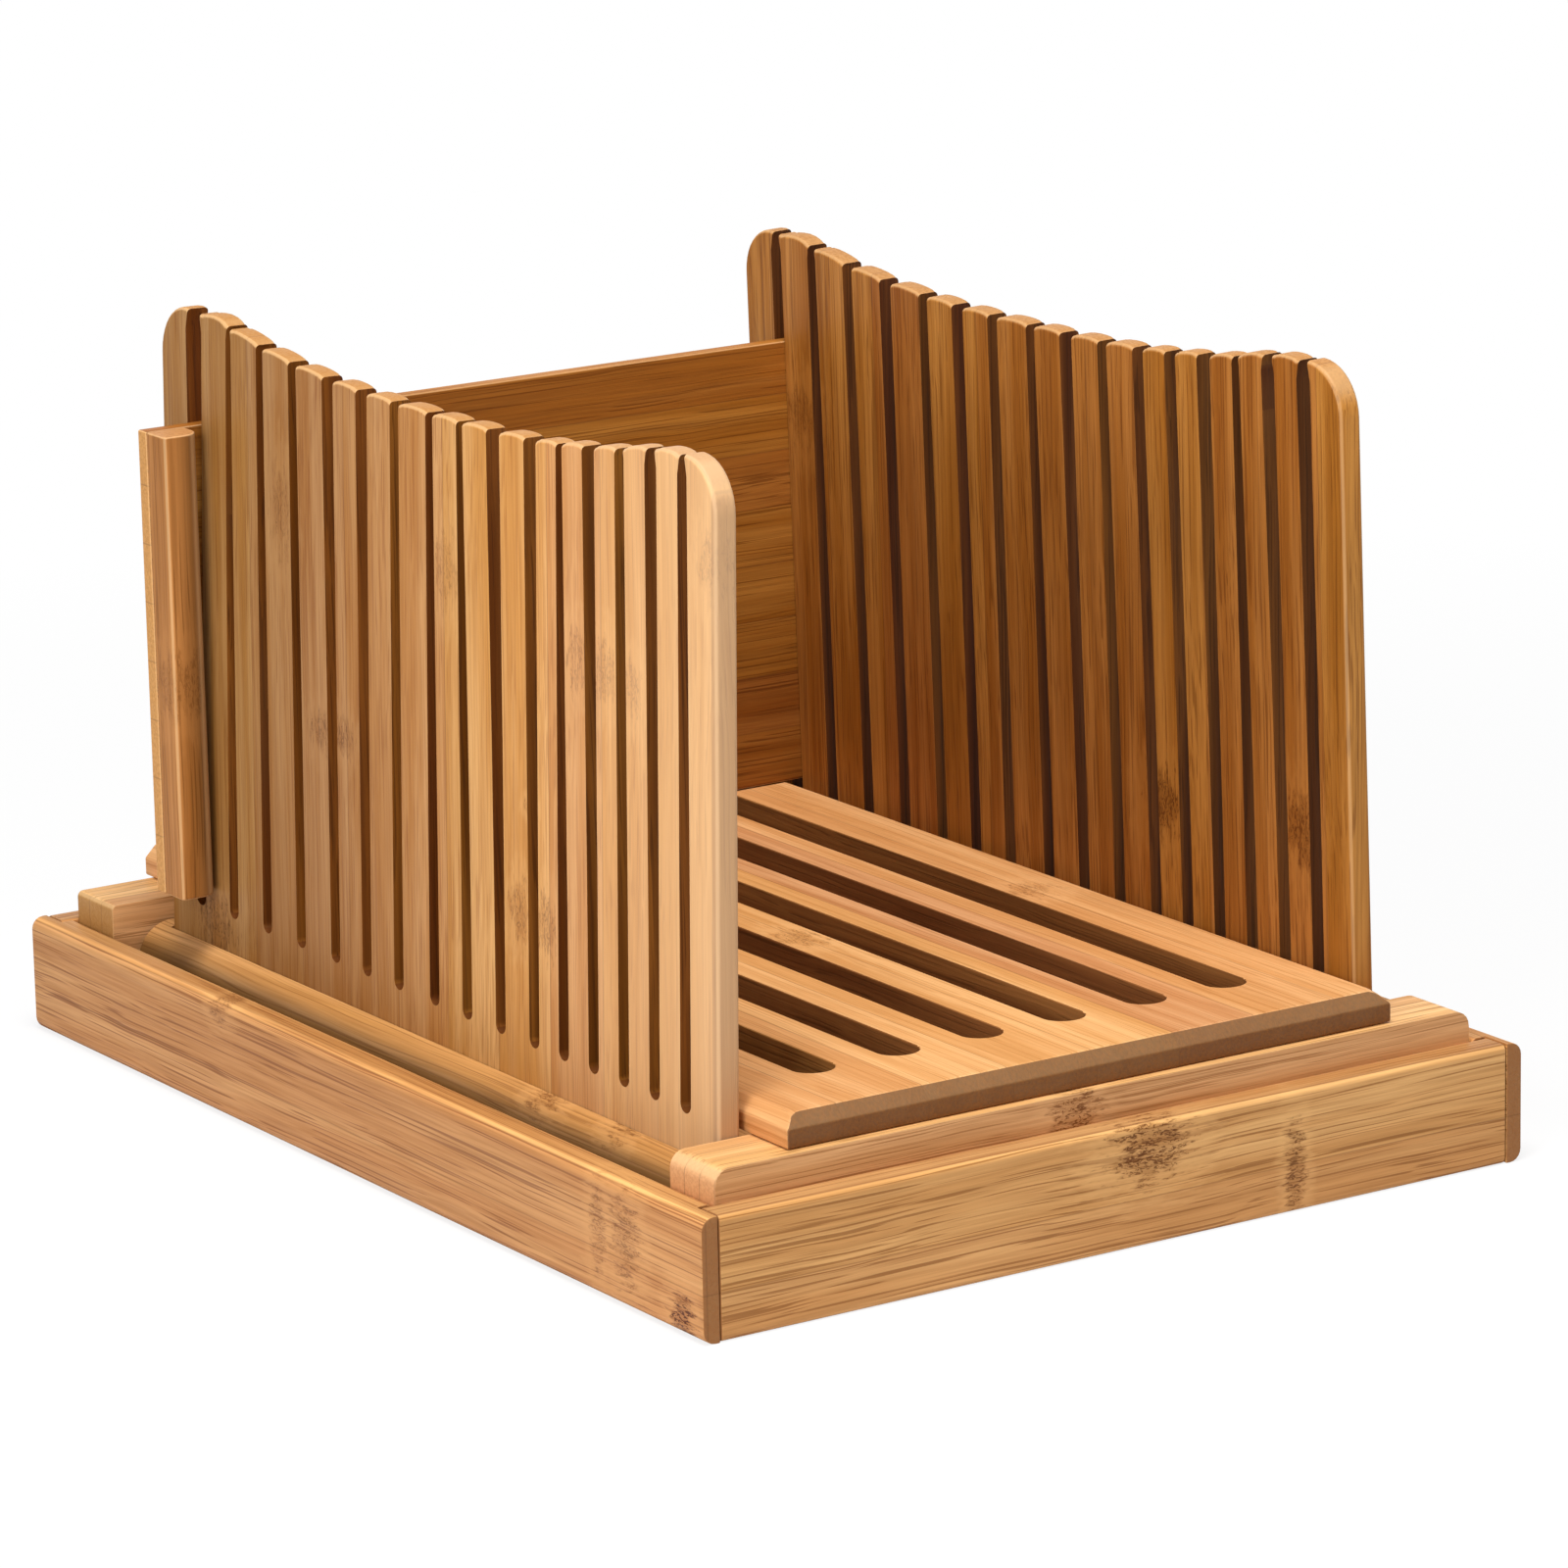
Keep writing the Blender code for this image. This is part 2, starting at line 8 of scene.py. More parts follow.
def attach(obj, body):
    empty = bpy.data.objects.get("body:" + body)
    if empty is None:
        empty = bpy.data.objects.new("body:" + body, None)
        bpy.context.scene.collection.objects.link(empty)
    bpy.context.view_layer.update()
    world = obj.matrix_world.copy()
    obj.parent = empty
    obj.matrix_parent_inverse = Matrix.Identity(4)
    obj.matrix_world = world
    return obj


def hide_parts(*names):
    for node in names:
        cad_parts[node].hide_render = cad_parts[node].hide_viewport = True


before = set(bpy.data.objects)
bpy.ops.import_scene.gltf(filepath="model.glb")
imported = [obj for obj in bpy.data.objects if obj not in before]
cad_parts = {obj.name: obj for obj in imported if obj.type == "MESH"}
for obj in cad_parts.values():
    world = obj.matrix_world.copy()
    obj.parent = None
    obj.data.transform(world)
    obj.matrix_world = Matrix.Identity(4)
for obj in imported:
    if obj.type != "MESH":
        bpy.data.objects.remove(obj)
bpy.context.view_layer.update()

MM = 0.001
SHARP_DEGREES = 40
FLAT_DEGREES = 0.5
MERGE_DISTANCE = 0.002
HAIR = 0.01
SIDES = (("left", -1), ("right", 1))
ENDS = (("front", -1), ("rear", 1))

# Sizes of the guide, in millimetres and degrees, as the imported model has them
DECK_HALF_WIDTH = 88.5
DECK_ENDS = (-153.4, 159.0)
DECK_BOTTOM = 38.6
DECK_THICKNESS = 7.9
CRUMB_SLOTS = 6
CRUMB_SLOT_PITCH = 24.34
CRUMB_SLOT_RADIUS = 5.635
CRUMB_SLOT_ENDS = (-127.4, 133.0)
COMB_ENDS = (-136.3, 129.2)
COMB_BOTTOM = 26.7
COMB_TOP = 199.0
COMB_DIP = 7.9
COMB_DIP_REACH = 0.4
COMB_DIP_POWER = 2.6
COMB_CORNER = 13.0
COMB_FACES = (90.8, 97.0)
COMB_LEAN = 1.35
KNIFE_SLOT_WIDTH = 4.6
BOARD_SLOT_WIDTH = 5.0
KNIFE_SLOT_BOTTOM = 41.3
FIRST_SLOT = -122.0
THIN_SLICE = 13.639
MEDIUM_SLICE = 15.8
THICK_SLICE = 17.6
SLICES = ["thin"] * 5 + ["medium"] * 3 + ["thick"] + ["medium"] * 2 + ["thick"] * 4
BAR_AXIS = (94.2, 22.4)
RAIL_OUTER_X = 110.6
RAIL_TOP = 38.3
RAIL_END_ROUND = 5.5
SCREW_HEAD_Y = 155.7
SCREW_HEAD_RADIUS = 4.0
SCREW_SHANK_RADIUS = 2.0
SCREW_HEAD_DEPTH = 2.4
SCREW_SHANK_END = 34.0
SCREW_LENGTH = 38.0

# Finer work that only this model has, in millimetres
COMB_RIM = 1.1
COMB_EASE = 0.45
TIP_EASE = 0.9
TIP_MARGIN = 0.3
DECK_CHAMFER = 3.2
DECK_CORNER = 3.6
DECK_EASE = 0.5
SANDED_RAIL_ENDS = {"front_rail": 4.0, "rear_rail": 1.6}
SAW_DEPTH = 10.0
SAW_RUN_OUT = 4
MILL_DEPTH = 14.0
THREAD_TURNS = 12.0
THREAD_START = 13.0
THREAD_DEPTH = 0.35
CROSS_WIDTH = 1.1
CROSS_LENGTH = 4.4
CROSS_DEPTH = 1.8

# Crown of a finger's tip: share of the way over the finger, and its drop in mm
TIP_CROWN = (
    (0.97, 0.7), (0.88, 0.3), (0.72, 0.08), (0.5, 0.0), (0.28, 0.08), (0.12, 0.3), (0.03, 0.7),
)


def knife_slots():
    """Middles of the sixteen slots, from the front to the back stop's."""
    steps = {"thin": THIN_SLICE, "medium": MEDIUM_SLICE, "thick": THICK_SLICE}
    places = [FIRST_SLOT]
    for slice_name in SLICES:
        places.append(places[-1] + steps[slice_name])
    return places


def fingers():
    """Front and rear edge of each finger that the slots leave standing."""
    places = knife_slots()
    widths = [KNIFE_SLOT_WIDTH] * (len(places) - 1) + [BOARD_SLOT_WIDTH]
    starts = [COMB_ENDS[0]] + [y + w / 2 for y, w in zip(places, widths)]
    ends = [y - w / 2 for y, w in zip(places, widths)] + [COMB_ENDS[1]]
    return list(zip(starts, ends))


def comb_top(y):
    """Height of the hollowed top edge of a comb."""
    middle = sum(COMB_ENDS) / 2
    length = COMB_ENDS[1] - COMB_ENDS[0]
    share = min(1.0, abs(y - middle) / (COMB_DIP_REACH * length))
    return COMB_TOP - COMB_DIP * (1 - share ** COMB_DIP_POWER)


# ---------------------------------------------------------------- nodes


def add(tree, kind, settings=None, feeds=None, out=0):
    """Adds one node with its settings and what feeds it, and gives the output that is used."""
    node = tree.nodes.new(kind)
    for name, value in (settings or {}).items():
        setattr(node, name, value)
    for name, value in (feeds or {}).items():
        socket = node.inputs[name]
        if isinstance(value, bpy.types.NodeSocket):
            tree.links.new(value, socket)
        else:
            socket.default_value = value
    return node.outputs[out] if len(node.outputs) else node


def tone(code):
    """Linear colour of an sRGB hex value."""
    channels = []
    for place in (0, 2, 4):
        share = int(code[place:place + 2], 16) / 255
        channels.append(share / 12.92 if share <= 0.04045 else ((share + 0.055) / 1.055) ** 2.4)
    return (*channels, 1.0)


# Tones and surface that all the bamboo shares
GLUE_LINE = "6B4220"
KNUCKLE_MARK = "663208"
WORN_EDGE = "EFC793"
# pale colour of the painted sheen, a painted highlight on a piece
PAINTED_SHEEN = "D8B28C"
OIL_IOR = 1.47
OIL_SPECULAR = 0.2
STRIP_VALUES = (0.9, 1.08)
STRIP_HUES = (0.496, 0.506)
SMOOTH = {"interpolation_type": "SMOOTHSTEP"}


def bamboo(
    name,
    grain,
    across,
    light="E3AC70",
    middle="CC9257",
    dark="9E6532",
    end="8A5C34",
    strip=(20.0, 8.0),
    shift=(0.0, 0.0),
    knuckles=(),
    lines=0.6,
    seams=0.4,
    painted_shading=(),
    roughness=0.5,
    seed=0,
    worn=0.35,
    painted_sheen=None,
):
    """Carbonised bamboo: strips glued side by side, steamed brown, planed, sanded and oiled.

    The eye reads it from long dark fibres along the grain, a slow change of tone from
    strip to strip, the dark scribble of a knuckle, dotted end grain, and paler worn edges.

    grain and across are axes of the piece. strip is a strip's width across and through it,
    and shift moves the strips, in mm. Each painted shade fade is (axis, full at, darkest at, least
    value), and the painted sheen, a pale painted highlight, is (axis, strongest at, gone at, share),
    both with places in mm.
    """
    finish = bpy.data.materials.new(name)
    finish.use_nodes = True
    tree = finish.node_tree
    shader = tree.nodes["Principled BSDF"]
    places = add(tree, "ShaderNodeTexCoord").node
    axes = add(tree, "ShaderNodeSeparateXYZ", feeds={0: places.outputs["Object"]}).node.outputs
    facing = add(tree, "ShaderNodeSeparateXYZ", feeds={0: places.outputs["Normal"]}).node.outputs
    through = (set("XYZ") - {grain, across}).pop()
    stock = add(
        tree, "ShaderNodeCombineXYZ",
        feeds={"X": axes[grain], "Y": axes[across], "Z": axes[through]},
    )
    stock = add(tree, "ShaderNodeVectorMath", {"operation": "SCALE"}, {0: stock, "Scale": 1000.0})
    # the glued strips: one number and one colour for each
    laid = add(tree, "ShaderNodeVectorMath", {"operation": "ADD"}, {0: stock, 1: (0.0, *shift)})
    laid = add(
        tree, "ShaderNodeVectorMath", {"operation": "MULTIPLY"},
        {0: laid, 1: (0.0, 1 / strip[0], 1 / strip[1])},
    )
    strip_number = add(tree, "ShaderNodeVectorMath", {"operation": "FLOOR"}, {0: laid})
    strip_number = add(
        tree, "ShaderNodeVectorMath", {"operation": "ADD"}, {0: strip_number, 1: (seed, 3.7, 9.1)}
    )
    chance = add(tree, "ShaderNodeTexWhiteNoise", feeds={"Vector": strip_number}).node
    glue = add(tree, "ShaderNodeSeparateXYZ", feeds={0: laid}).node.outputs
    seam = 1.0
    for letter, width in zip("YZ", strip):
        near = add(tree, "ShaderNodeMath", {"operation": "PINGPONG"}, {0: glue[letter], 1: 0.5})
        near = add(
            tree, "ShaderNodeMapRange", SMOOTH,
            {"Value": near, "From Min": 0.05 / width, "From Max": 0.3 / width, "To Min": 1 - seams},
        )
        seam = add(tree, "ShaderNodeMath", {"operation": "MULTIPLY"}, {0: near, 1: seam})
    # fibres wander by two millimetres or so over a hand's width
    bend = add(
        tree, "ShaderNodeVectorMath", {"operation": "MULTIPLY"},
        {0: stock, 1: (1 / 95, 1 / 26, 1 / 26)},
    )
    bend = add(tree, "ShaderNodeTexNoise", feeds={"Vector": bend, "Scale": 1.0, "Detail": 2.0})
    bend = add(tree, "ShaderNodeMapRange", feeds={"Value": bend, "To Min": -2.2, "To Max": 2.2})
    bend = add(tree, "ShaderNodeCombineXYZ", feeds={"Y": bend, "Z": bend})
    fibre_place = add(tree, "ShaderNodeVectorMath", {"operation": "ADD"}, {0: stock, 1: bend})

    def fibres(length, width, spread, low, high, detail, wobble=0.0):
        """One kind of fibre: its length and width in mm, and where it fades in.

        spread sets how far it jumps from one strip to the next, so that no fibre runs
        over a glue line.
        """
        place = add(
            tree, "ShaderNodeVectorMath", {"operation": "MULTIPLY"},
            {0: fibre_place, 1: (1 / length, 1 / width, 1 / width)},
        )
        place = add(
            tree, "ShaderNodeVectorMath", {"operation": "MULTIPLY_ADD"},
            {0: chance.outputs["Color"], 1: (spread, spread, spread), 2: place},
        )
        value = add(
            tree, "ShaderNodeTexNoise",
            feeds={
                "Vector": place, "Scale": 1.0, "Detail": detail,
                "Roughness": 0.55, "Distortion": wobble,
            },
        )
        return add(
            tree, "ShaderNodeMapRange", SMOOTH,
            {"Value": value, "From Min": low, "From Max": high},
        )

    def coated(colour, coats):
        """The colour under some coats, each laid over the last by a share."""
        for coat, where, share in coats:
            share = add(tree, "ShaderNodeMath", {"operation": "MULTIPLY"}, {0: where, 1: share})
            colour = add(
                tree, "ShaderNodeMix", {"data_type": "RGBA"},
                {"Factor": share, 6: colour, 7: tone(coat)}, out=2,
            )
        return colour

    fine = fibres(38, 0.8, 97, 0.32, 0.70, 3)
    broad = fibres(170, 6.5, 41, 0.34, 0.68, 1)
    bands = fibres(90, 2.4, 29, 0.48, 0.72, 2)
    thin_lines = fibres(120, 0.64, 13, 0.56, 0.65, 1)
    height = add(tree, "ShaderNodeMath", {"operation": "ADD"}, {0: fine, 1: thin_lines})
    height = add(tree, "ShaderNodeMath", {"operation": "MULTIPLY_ADD"}, {0: height, 1: -0.5, 2: seam})
    coats = [
        (light, broad, 1.0),
        (dark, fine, 0.3),
        (dark, bands, 0.3 * lines),
        (dark, thin_lines, lines),
    ]
    # end grain drinks more oil, so it is darker, with the fibres' cut ends as dots
    steep = add(tree, "ShaderNodeMath", {"operation": "ABSOLUTE"}, {0: facing[grain]})
    cut_end = add(
        tree, "ShaderNodeMapRange", SMOOTH,
        {"Value": steep, "From Min": 0.45, "From Max": 0.62},
    )
    dots = add(tree, "ShaderNodeMath", {"operation": "MULTIPLY"}, {0: cut_end, 1: fine})
    late_coats = [(end, cut_end, 0.92), (dark, dots, 0.22)]
    if knuckles:
        # how far out a place is, in half sizes of the nearest knuckle, with a ragged rim
        ragged = fibres(6, 1.3, 7, 0.0, 1.0, 2)
        ragged = add(tree, "ShaderNodeMath", {"operation": "MULTIPLY"}, {0: ragged, 1: 1.6})
        nearest, knuckle = 9.0, 0.0
        for middle_along, middle_across, half_along, half_across, strength in knuckles:
            off = add(
                tree, "ShaderNodeVectorMath", {"operation": "SUBTRACT"},
                {0: stock, 1: (middle_along, middle_across, 0.0)},
            )
            off = add(
                tree, "ShaderNodeVectorMath", {"operation": "MULTIPLY"},
                {0: off, 1: (1 / half_along, 1 / half_across, 0.0)},
            )
            off = add(tree, "ShaderNodeVectorMath", {"operation": "LENGTH"}, {0: off}, out=1)
            off = add(tree, "ShaderNodeMath", {"operation": "ADD"}, {0: off, 1: ragged})
            nearest = add(tree, "ShaderNodeMath", {"operation": "MINIMUM"}, {0: off, 1: nearest})
            blot = add(
                tree, "ShaderNodeMapRange", SMOOTH,
                {"Value": off, "From Min": 1.85, "From Max": 1.2, "To Max": strength},
            )
            knuckle = add(tree, "ShaderNodeMath", {"operation": "MAXIMUM"}, {0: blot, 1: knuckle})
        halo = add(
            tree, "ShaderNodeMapRange", SMOOTH,
            {"Value": nearest, "From Min": 2.7, "From Max": 1.9},
        )
        halo = add(tree, "ShaderNodeMath", {"operation": "SUBTRACT"}, {0: halo, 1: knuckle})
        scribble = fibres(2.6, 0.75, 5, 0.50, 0.60, 1, wobble=1.6)
        ticks = fibres(1.1, 0.8, 3, 0.60, 0.68, 1, wobble=0.8)
        scribble = add(tree, "ShaderNodeMath", {"operation": "MAXIMUM"}, {0: scribble, 1: ticks})
        scribble = add(tree, "ShaderNodeMath", {"operation": "MULTIPLY"}, {0: scribble, 1: knuckle})
        coats += [(light, halo, 0.35), (dark, knuckle, 0.42), (KNUCKLE_MARK, scribble, 1.0)]
        height = add(tree, "ShaderNodeMath", {"operation": "SUBTRACT"}, {0: height, 1: scribble})
    glued = add(tree, "ShaderNodeMath", {"operation": "SUBTRACT"}, {0: 1.0, 1: seam})
    late_coats.append((GLUE_LINE, glued, 1.0))
    # an edge is where the surface faces none of the axes squarely
    square = steep
    for letter in (across, through):
        side = add(tree, "ShaderNodeMath", {"operation": "ABSOLUTE"}, {0: facing[letter]})
        square = add(tree, "ShaderNodeMath", {"operation": "MAXIMUM"}, {0: square, 1: side})
    edge = add(
        tree, "ShaderNodeMapRange", SMOOTH,
        {"Value": square, "From Min": 0.99, "From Max": 0.86},
    )
    late_coats.append((WORN_EDGE, edge, worn))
    # painted sheen: a paler, greyer wash towards one end of a piece, a painted highlight for the glare
    # of light on it
    if painted_sheen:
        letter, strongest, gone, share = painted_sheen
        where = add(
            tree, "ShaderNodeMapRange", SMOOTH,
            {"Value": axes[letter], "From Min": gone * MM, "From Max": strongest * MM},
        )
        late_coats.append((PAINTED_SHEEN, where, share))
    colour = coated(tone(middle), coats)
    # strips differ at random, and each painted shade fade makes a piece darker towards one place
    drawn = chance.outputs["Value"]
    low, high = STRIP_VALUES
    value = add(tree, "ShaderNodeMapRange", feeds={"Value": drawn, "To Min": low, "To Max": high})
    low, high = STRIP_HUES
    hue = add(tree, "ShaderNodeMapRange", feeds={"Value": drawn, "To Min": low, "To Max": high})
    for letter, full, darkest, least in painted_shading:
        shade_share = add(
            tree, "ShaderNodeMapRange", SMOOTH,
            {
                "Value": axes[letter], "From Min": full * MM, "From Max": darkest * MM,
                "To Min": 1.0, "To Max": least,
            },
        )
        value = add(tree, "ShaderNodeMath", {"operation": "MULTIPLY"}, {0: value, 1: shade_share})
    colour = add(tree, "ShaderNodeHueSaturation", feeds={"Hue": hue, "Value": value, "Color": colour})
    colour = coated(colour, late_coats)
    gloss = add(
        tree, "ShaderNodeMapRange",
        feeds={"Value": fine, "To Min": roughness - 0.06, "To Max": roughness + 0.08},
    )
    relief = add(
        tree, "ShaderNodeBump", feeds={"Height": height, "Strength": 0.22, "Distance": 0.25 * MM}
    )
    shader.inputs["IOR"].default_value = OIL_IOR
    shader.inputs["Specular IOR Level"].default_value = OIL_SPECULAR
    tree.links.new(colour, shader.inputs["Base Color"])
    tree.links.new(gloss, shader.inputs["Roughness"])
    tree.links.new(relief, shader.inputs["Normal"])
    return finish


def screw_steel():
    """Zinc-plated steel: a cool grey shine with faint turning marks and dull patches."""
    finish = bpy.data.materials.new("zinc-plated steel")
    finish.use_nodes = True
    tree = finish.node_tree
    shader = tree.nodes["Principled BSDF"]
    places = add(tree, "ShaderNodeTexCoord").node
    coat = add(
        tree, "ShaderNodeTexNoise",
        feeds={"Vector": places.outputs["Object"], "Scale": 900.0, "Detail": 3.0},
    )
    colour = add(
        tree, "ShaderNodeMix", {"data_type": "RGBA"},
        {"Factor": coat, 6: tone("9C9A94"), 7: tone("C9C7BF")}, out=2,
    )
    gloss = add(tree, "ShaderNodeMapRange", feeds={"Value": coat, "To Min": 0.28, "To Max": 0.46})
    relief = add(tree, "ShaderNodeBump", feeds={"Height": coat, "Strength": 0.1, "Distance": 0.02 * MM})
    shader.inputs["Metallic"].default_value = 1.0
    tree.links.new(colour, shader.inputs["Base Color"])
    tree.links.new(gloss, shader.inputs["Roughness"])
    tree.links.new(relief, shader.inputs["Normal"])
    return finish


# ---------------------------------------------------------------- making pieces


def new_piece(name, mesh):
    """Puts a mesh in the scene as a piece."""
    piece = bpy.data.objects.new(name, mesh)
    bpy.context.scene.collection.objects.link(piece)
    return piece


def settle(piece):
    """Turns a piece's modifiers into its plain mesh."""
    bpy.context.view_layer.update()
    made = bpy.data.meshes.new_from_object(
        piece.evaluated_get(bpy.context.evaluated_depsgraph_get())
    )
    piece.modifiers.clear()
    piece.data = made
    made.name = piece.name


def sharp(edge):
    """Whether two faces meet at an edge that sandpaper would catch."""
    return len(edge.link_faces) == 2 and edge.calc_face_angle() > math.radians(SHARP_DEGREES)


def ease_edges(piece, radius, steps=3, more=(), wide=0.0):
    """Sands the sharp edges of a piece to a radius in mm, those in more to a wide one."""
    work = bmesh.new()
    work.from_mesh(piece.data)
    amount = work.edges.layers.float.new("bevel_weight_edge")
    widest = max(radius, wide)
    for edge in work.edges:
        if sharp(edge):
            edge[amount] = (wide if edge.index in more else radius) / widest
    for face in work.faces:
        face.smooth = True
    work.to_mesh(piece.data)
    work.free()
    bevel = piece.modifiers.new("eased edges", "BEVEL")
    bevel.width = widest * MM
    bevel.segments = steps
    bevel.limit_method = "WEIGHT"
    bevel.use_clamp_overlap = True
    piece.modifiers.new("flat faces", "WEIGHTED_NORMAL")
    settle(piece)


def prism(name, outline, low, high):
    """Closed piece from a side view (y, z) in mm, drawn out from low to high in x."""
    work = bmesh.new()
    rings = []
    for x in (low, high):
        rings.append([work.verts.new((x * MM, y * MM, z * MM)) for y, z in outline])
    work.faces.new(rings[0])
    work.faces.new(rings[1])
    count = len(outline)
    for index in range(count):
        after = (index + 1) % count
        work.faces.new((rings[0][index], rings[0][after], rings[1][after], rings[1][index]))
    bmesh.ops.recalc_face_normals(work, faces=work.faces)
    mesh = bpy.data.meshes.new(name)
    work.to_mesh(mesh)
    work.free()
    return new_piece(name, mesh)


def from_node(node, name):
    """A whole copy of a CAD node's shape, its triangles merged into the real faces."""
    work = bmesh.new()
    work.from_mesh(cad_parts[node].data)
    bmesh.ops.remove_doubles(work, verts=work.verts, dist=MERGE_DISTANCE * MM)
    bmesh.ops.dissolve_limit(
        work, angle_limit=math.radians(FLAT_DEGREES), verts=work.verts, edges=work.edges
    )
    mesh = bpy.data.meshes.new(name)
    work.to_mesh(mesh)
    work.free()
    return new_piece(name, mesh)


def corner(middle, radius, start, steps=10):
    """Quarter arc about a middle, from an angle in degrees, turning left."""
    points = []
    for step in range(steps + 1):
        angle = math.radians(start + 90 * step / steps)
        points.append((middle[0] + radius * math.cos(angle), middle[1] + radius * math.sin(angle)))
    return points


# ---------------------------------------------------------------- geometry trees


def geometry_tree(name, sizes):
    """New tree with the blank's geometry and named sizes as inputs."""
    tree = bpy.data.node_groups.new(name, "GeometryNodeTree")
    face = tree.interface
    face.new_socket("Geometry", in_out="OUTPUT", socket_type="NodeSocketGeometry")
    face.new_socket("Geometry", in_out="INPUT", socket_type="NodeSocketGeometry")
    for title, (kind, value) in sizes.items():
        socket = face.new_socket(title, in_out="INPUT", socket_type=kind)
        if value is not None:
            socket.default_value = value
    return tree


def use_tree(piece, tree, values):
    """Puts a tree on a piece, sets its inputs by identifier, and keeps the result as a mesh."""
    modifier = piece.modifiers.new(tree.name, "NODES")
    modifier.node_group = tree
    for item in tree.interface.items_tree:
        if item.in_out == "INPUT" and item.name in values:
            modifier[item.identifier] = values[item.name]
    settle(piece)


def knife_slot_tree():
    """Saws the row of knife slots into a comb: one cutter, repeated at the slice steps."""
    sizes = {
        "Slot Width": ("NodeSocketFloat", KNIFE_SLOT_WIDTH * MM),
        "Board Slot Width": ("NodeSocketFloat", BOARD_SLOT_WIDTH * MM),
        "Slot Bottom": ("NodeSocketFloat", KNIFE_SLOT_BOTTOM * MM),
        "Slot Height": ("NodeSocketFloat", (COMB_TOP + SAW_RUN_OUT - KNIFE_SLOT_BOTTOM) * MM),
        "First Slot": ("NodeSocketFloat", FIRST_SLOT * MM),
        "Thin Slice": ("NodeSocketFloat", THIN_SLICE * MM),
        "Medium Slice": ("NodeSocketFloat", MEDIUM_SLICE * MM),
        "Thick Slice": ("NodeSocketFloat", THICK_SLICE * MM),
        "Comb Middle": ("NodeSocketFloat", 0.0),
        "Saw Depth": ("NodeSocketFloat", SAW_DEPTH * MM),
        "Face": ("NodeSocketMaterial", None),
        "Slot Wall": ("NodeSocketMaterial", None),
    }
    tree = geometry_tree("knife slots", sizes)
    given = tree.nodes.new("NodeGroupInput").outputs
    radius = add(tree, "ShaderNodeMath", {"operation": "MULTIPLY"}, {0: given["Slot Width"], 1: 0.5})
    cutter = add(
        tree, "GeometryNodeMeshCylinder", {"fill_type": "NGON"},
        {"Vertices": 56, "Radius": radius, "Depth": given["Saw Depth"]},
    )
    cutter = add(
        tree, "GeometryNodeTransform",
        feeds={"Geometry": cutter, "Rotation": (0.0, math.pi / 2, 0.0)},
    )
    place = add(tree, "GeometryNodeInputPosition")
    split = add(tree, "ShaderNodeSeparateXYZ", feeds={0: place}).node
    # above its middle the round cutter is drawn up into two straight walls
    sine = add(
        tree, "ShaderNodeMath", {"operation": "DIVIDE", "use_clamp": True},
        {0: split.outputs["Z"], 1: radius},
    )
    turn = add(tree, "ShaderNodeMath", {"operation": "ARCSINE"}, {0: sine})
    share = add(tree, "ShaderNodeMath", {"operation": "MULTIPLY"}, {0: turn, 1: 2 / math.pi})
    risen = add(tree, "ShaderNodeMath", {"operation": "MULTIPLY"}, {0: share, 1: given["Slot Height"]})
    side = add(tree, "ShaderNodeMath", {"operation": "DIVIDE"}, {0: split.outputs["Y"], 1: radius})
    steep = add(tree, "ShaderNodeMath", {"operation": "MULTIPLY"}, {0: side, 1: 1000.0})
    flank = add(tree, "ShaderNodeClamp", feeds={"Value": steep, "Min": -1.0, "Max": 1.0})
    wall = add(tree, "ShaderNodeMath", {"operation": "MULTIPLY"}, {0: flank, 1: radius})
    upright = add(tree, "ShaderNodeCombineXYZ", feeds={"X": split.outputs["X"], "Y": wall, "Z": risen})
    upper = add(
        tree, "FunctionNodeCompare", {"data_type": "FLOAT", "operation": "GREATER_THAN"},
        {"A": split.outputs["Z"], "B": 0.0001 * MM},
    )
    cutter = add(
        tree, "GeometryNodeSetPosition",
        feeds={"Geometry": cutter, "Selection": upper, "Position": upright},
    )
    cutter = add(
        tree, "GeometryNodeSetMaterial",
        feeds={"Geometry": cutter, "Material": given["Slot Wall"]},
    )
    row = add(tree, "GeometryNodeMeshLine", feeds={"Count": len(SLICES) + 1})
    index = add(tree, "GeometryNodeInputIndex")
    chooser = tree.nodes.new("GeometryNodeIndexSwitch")
    chooser.data_type = "FLOAT"
    while len(chooser.index_switch_items) < len(SLICES) + 1:
        chooser.index_switch_items.new()
    tree.links.new(index, chooser.inputs["Index"])
    tree.links.new(given["First Slot"], chooser.inputs[1])
    for number, slice_name in enumerate(SLICES):
        tree.links.new(given[slice_name.title() + " Slice"], chooser.inputs[number + 2])
    along = add(tree, "GeometryNodeAccumulateField", {"data_type": "FLOAT"}, {0: chooser.outputs[0]})
    radius_up = add(tree, "ShaderNodeMath", {"operation": "ADD"}, {0: given["Slot Bottom"], 1: radius})
    spot = add(
        tree, "ShaderNodeCombineXYZ",
        feeds={"X": given["Comb Middle"], "Y": along, "Z": radius_up},
    )
    row = add(tree, "GeometryNodeSetPosition", feeds={"Geometry": row, "Position": spot})
    last = add(
        tree, "FunctionNodeCompare", {"data_type": "INT", "operation": "EQUAL"},
        {"A": index, "B": len(SLICES)},
    )
    ratio = add(
        tree, "ShaderNodeMath", {"operation": "DIVIDE"},
        {0: given["Board Slot Width"], 1: given["Slot Width"]},
    )
    widen = add(
        tree, "GeometryNodeSwitch", {"input_type": "FLOAT"},
        {"Switch": last, "False": 1.0, "True": ratio},
    )
    scale = add(tree, "ShaderNodeCombineXYZ", feeds={"X": 1.0, "Y": widen, "Z": 1.0})
    saws = add(
        tree, "GeometryNodeInstanceOnPoints",
        feeds={"Points": row, "Instance": cutter, "Scale": scale},
    )
    end_in_boolean(tree, given, saws)
    return tree


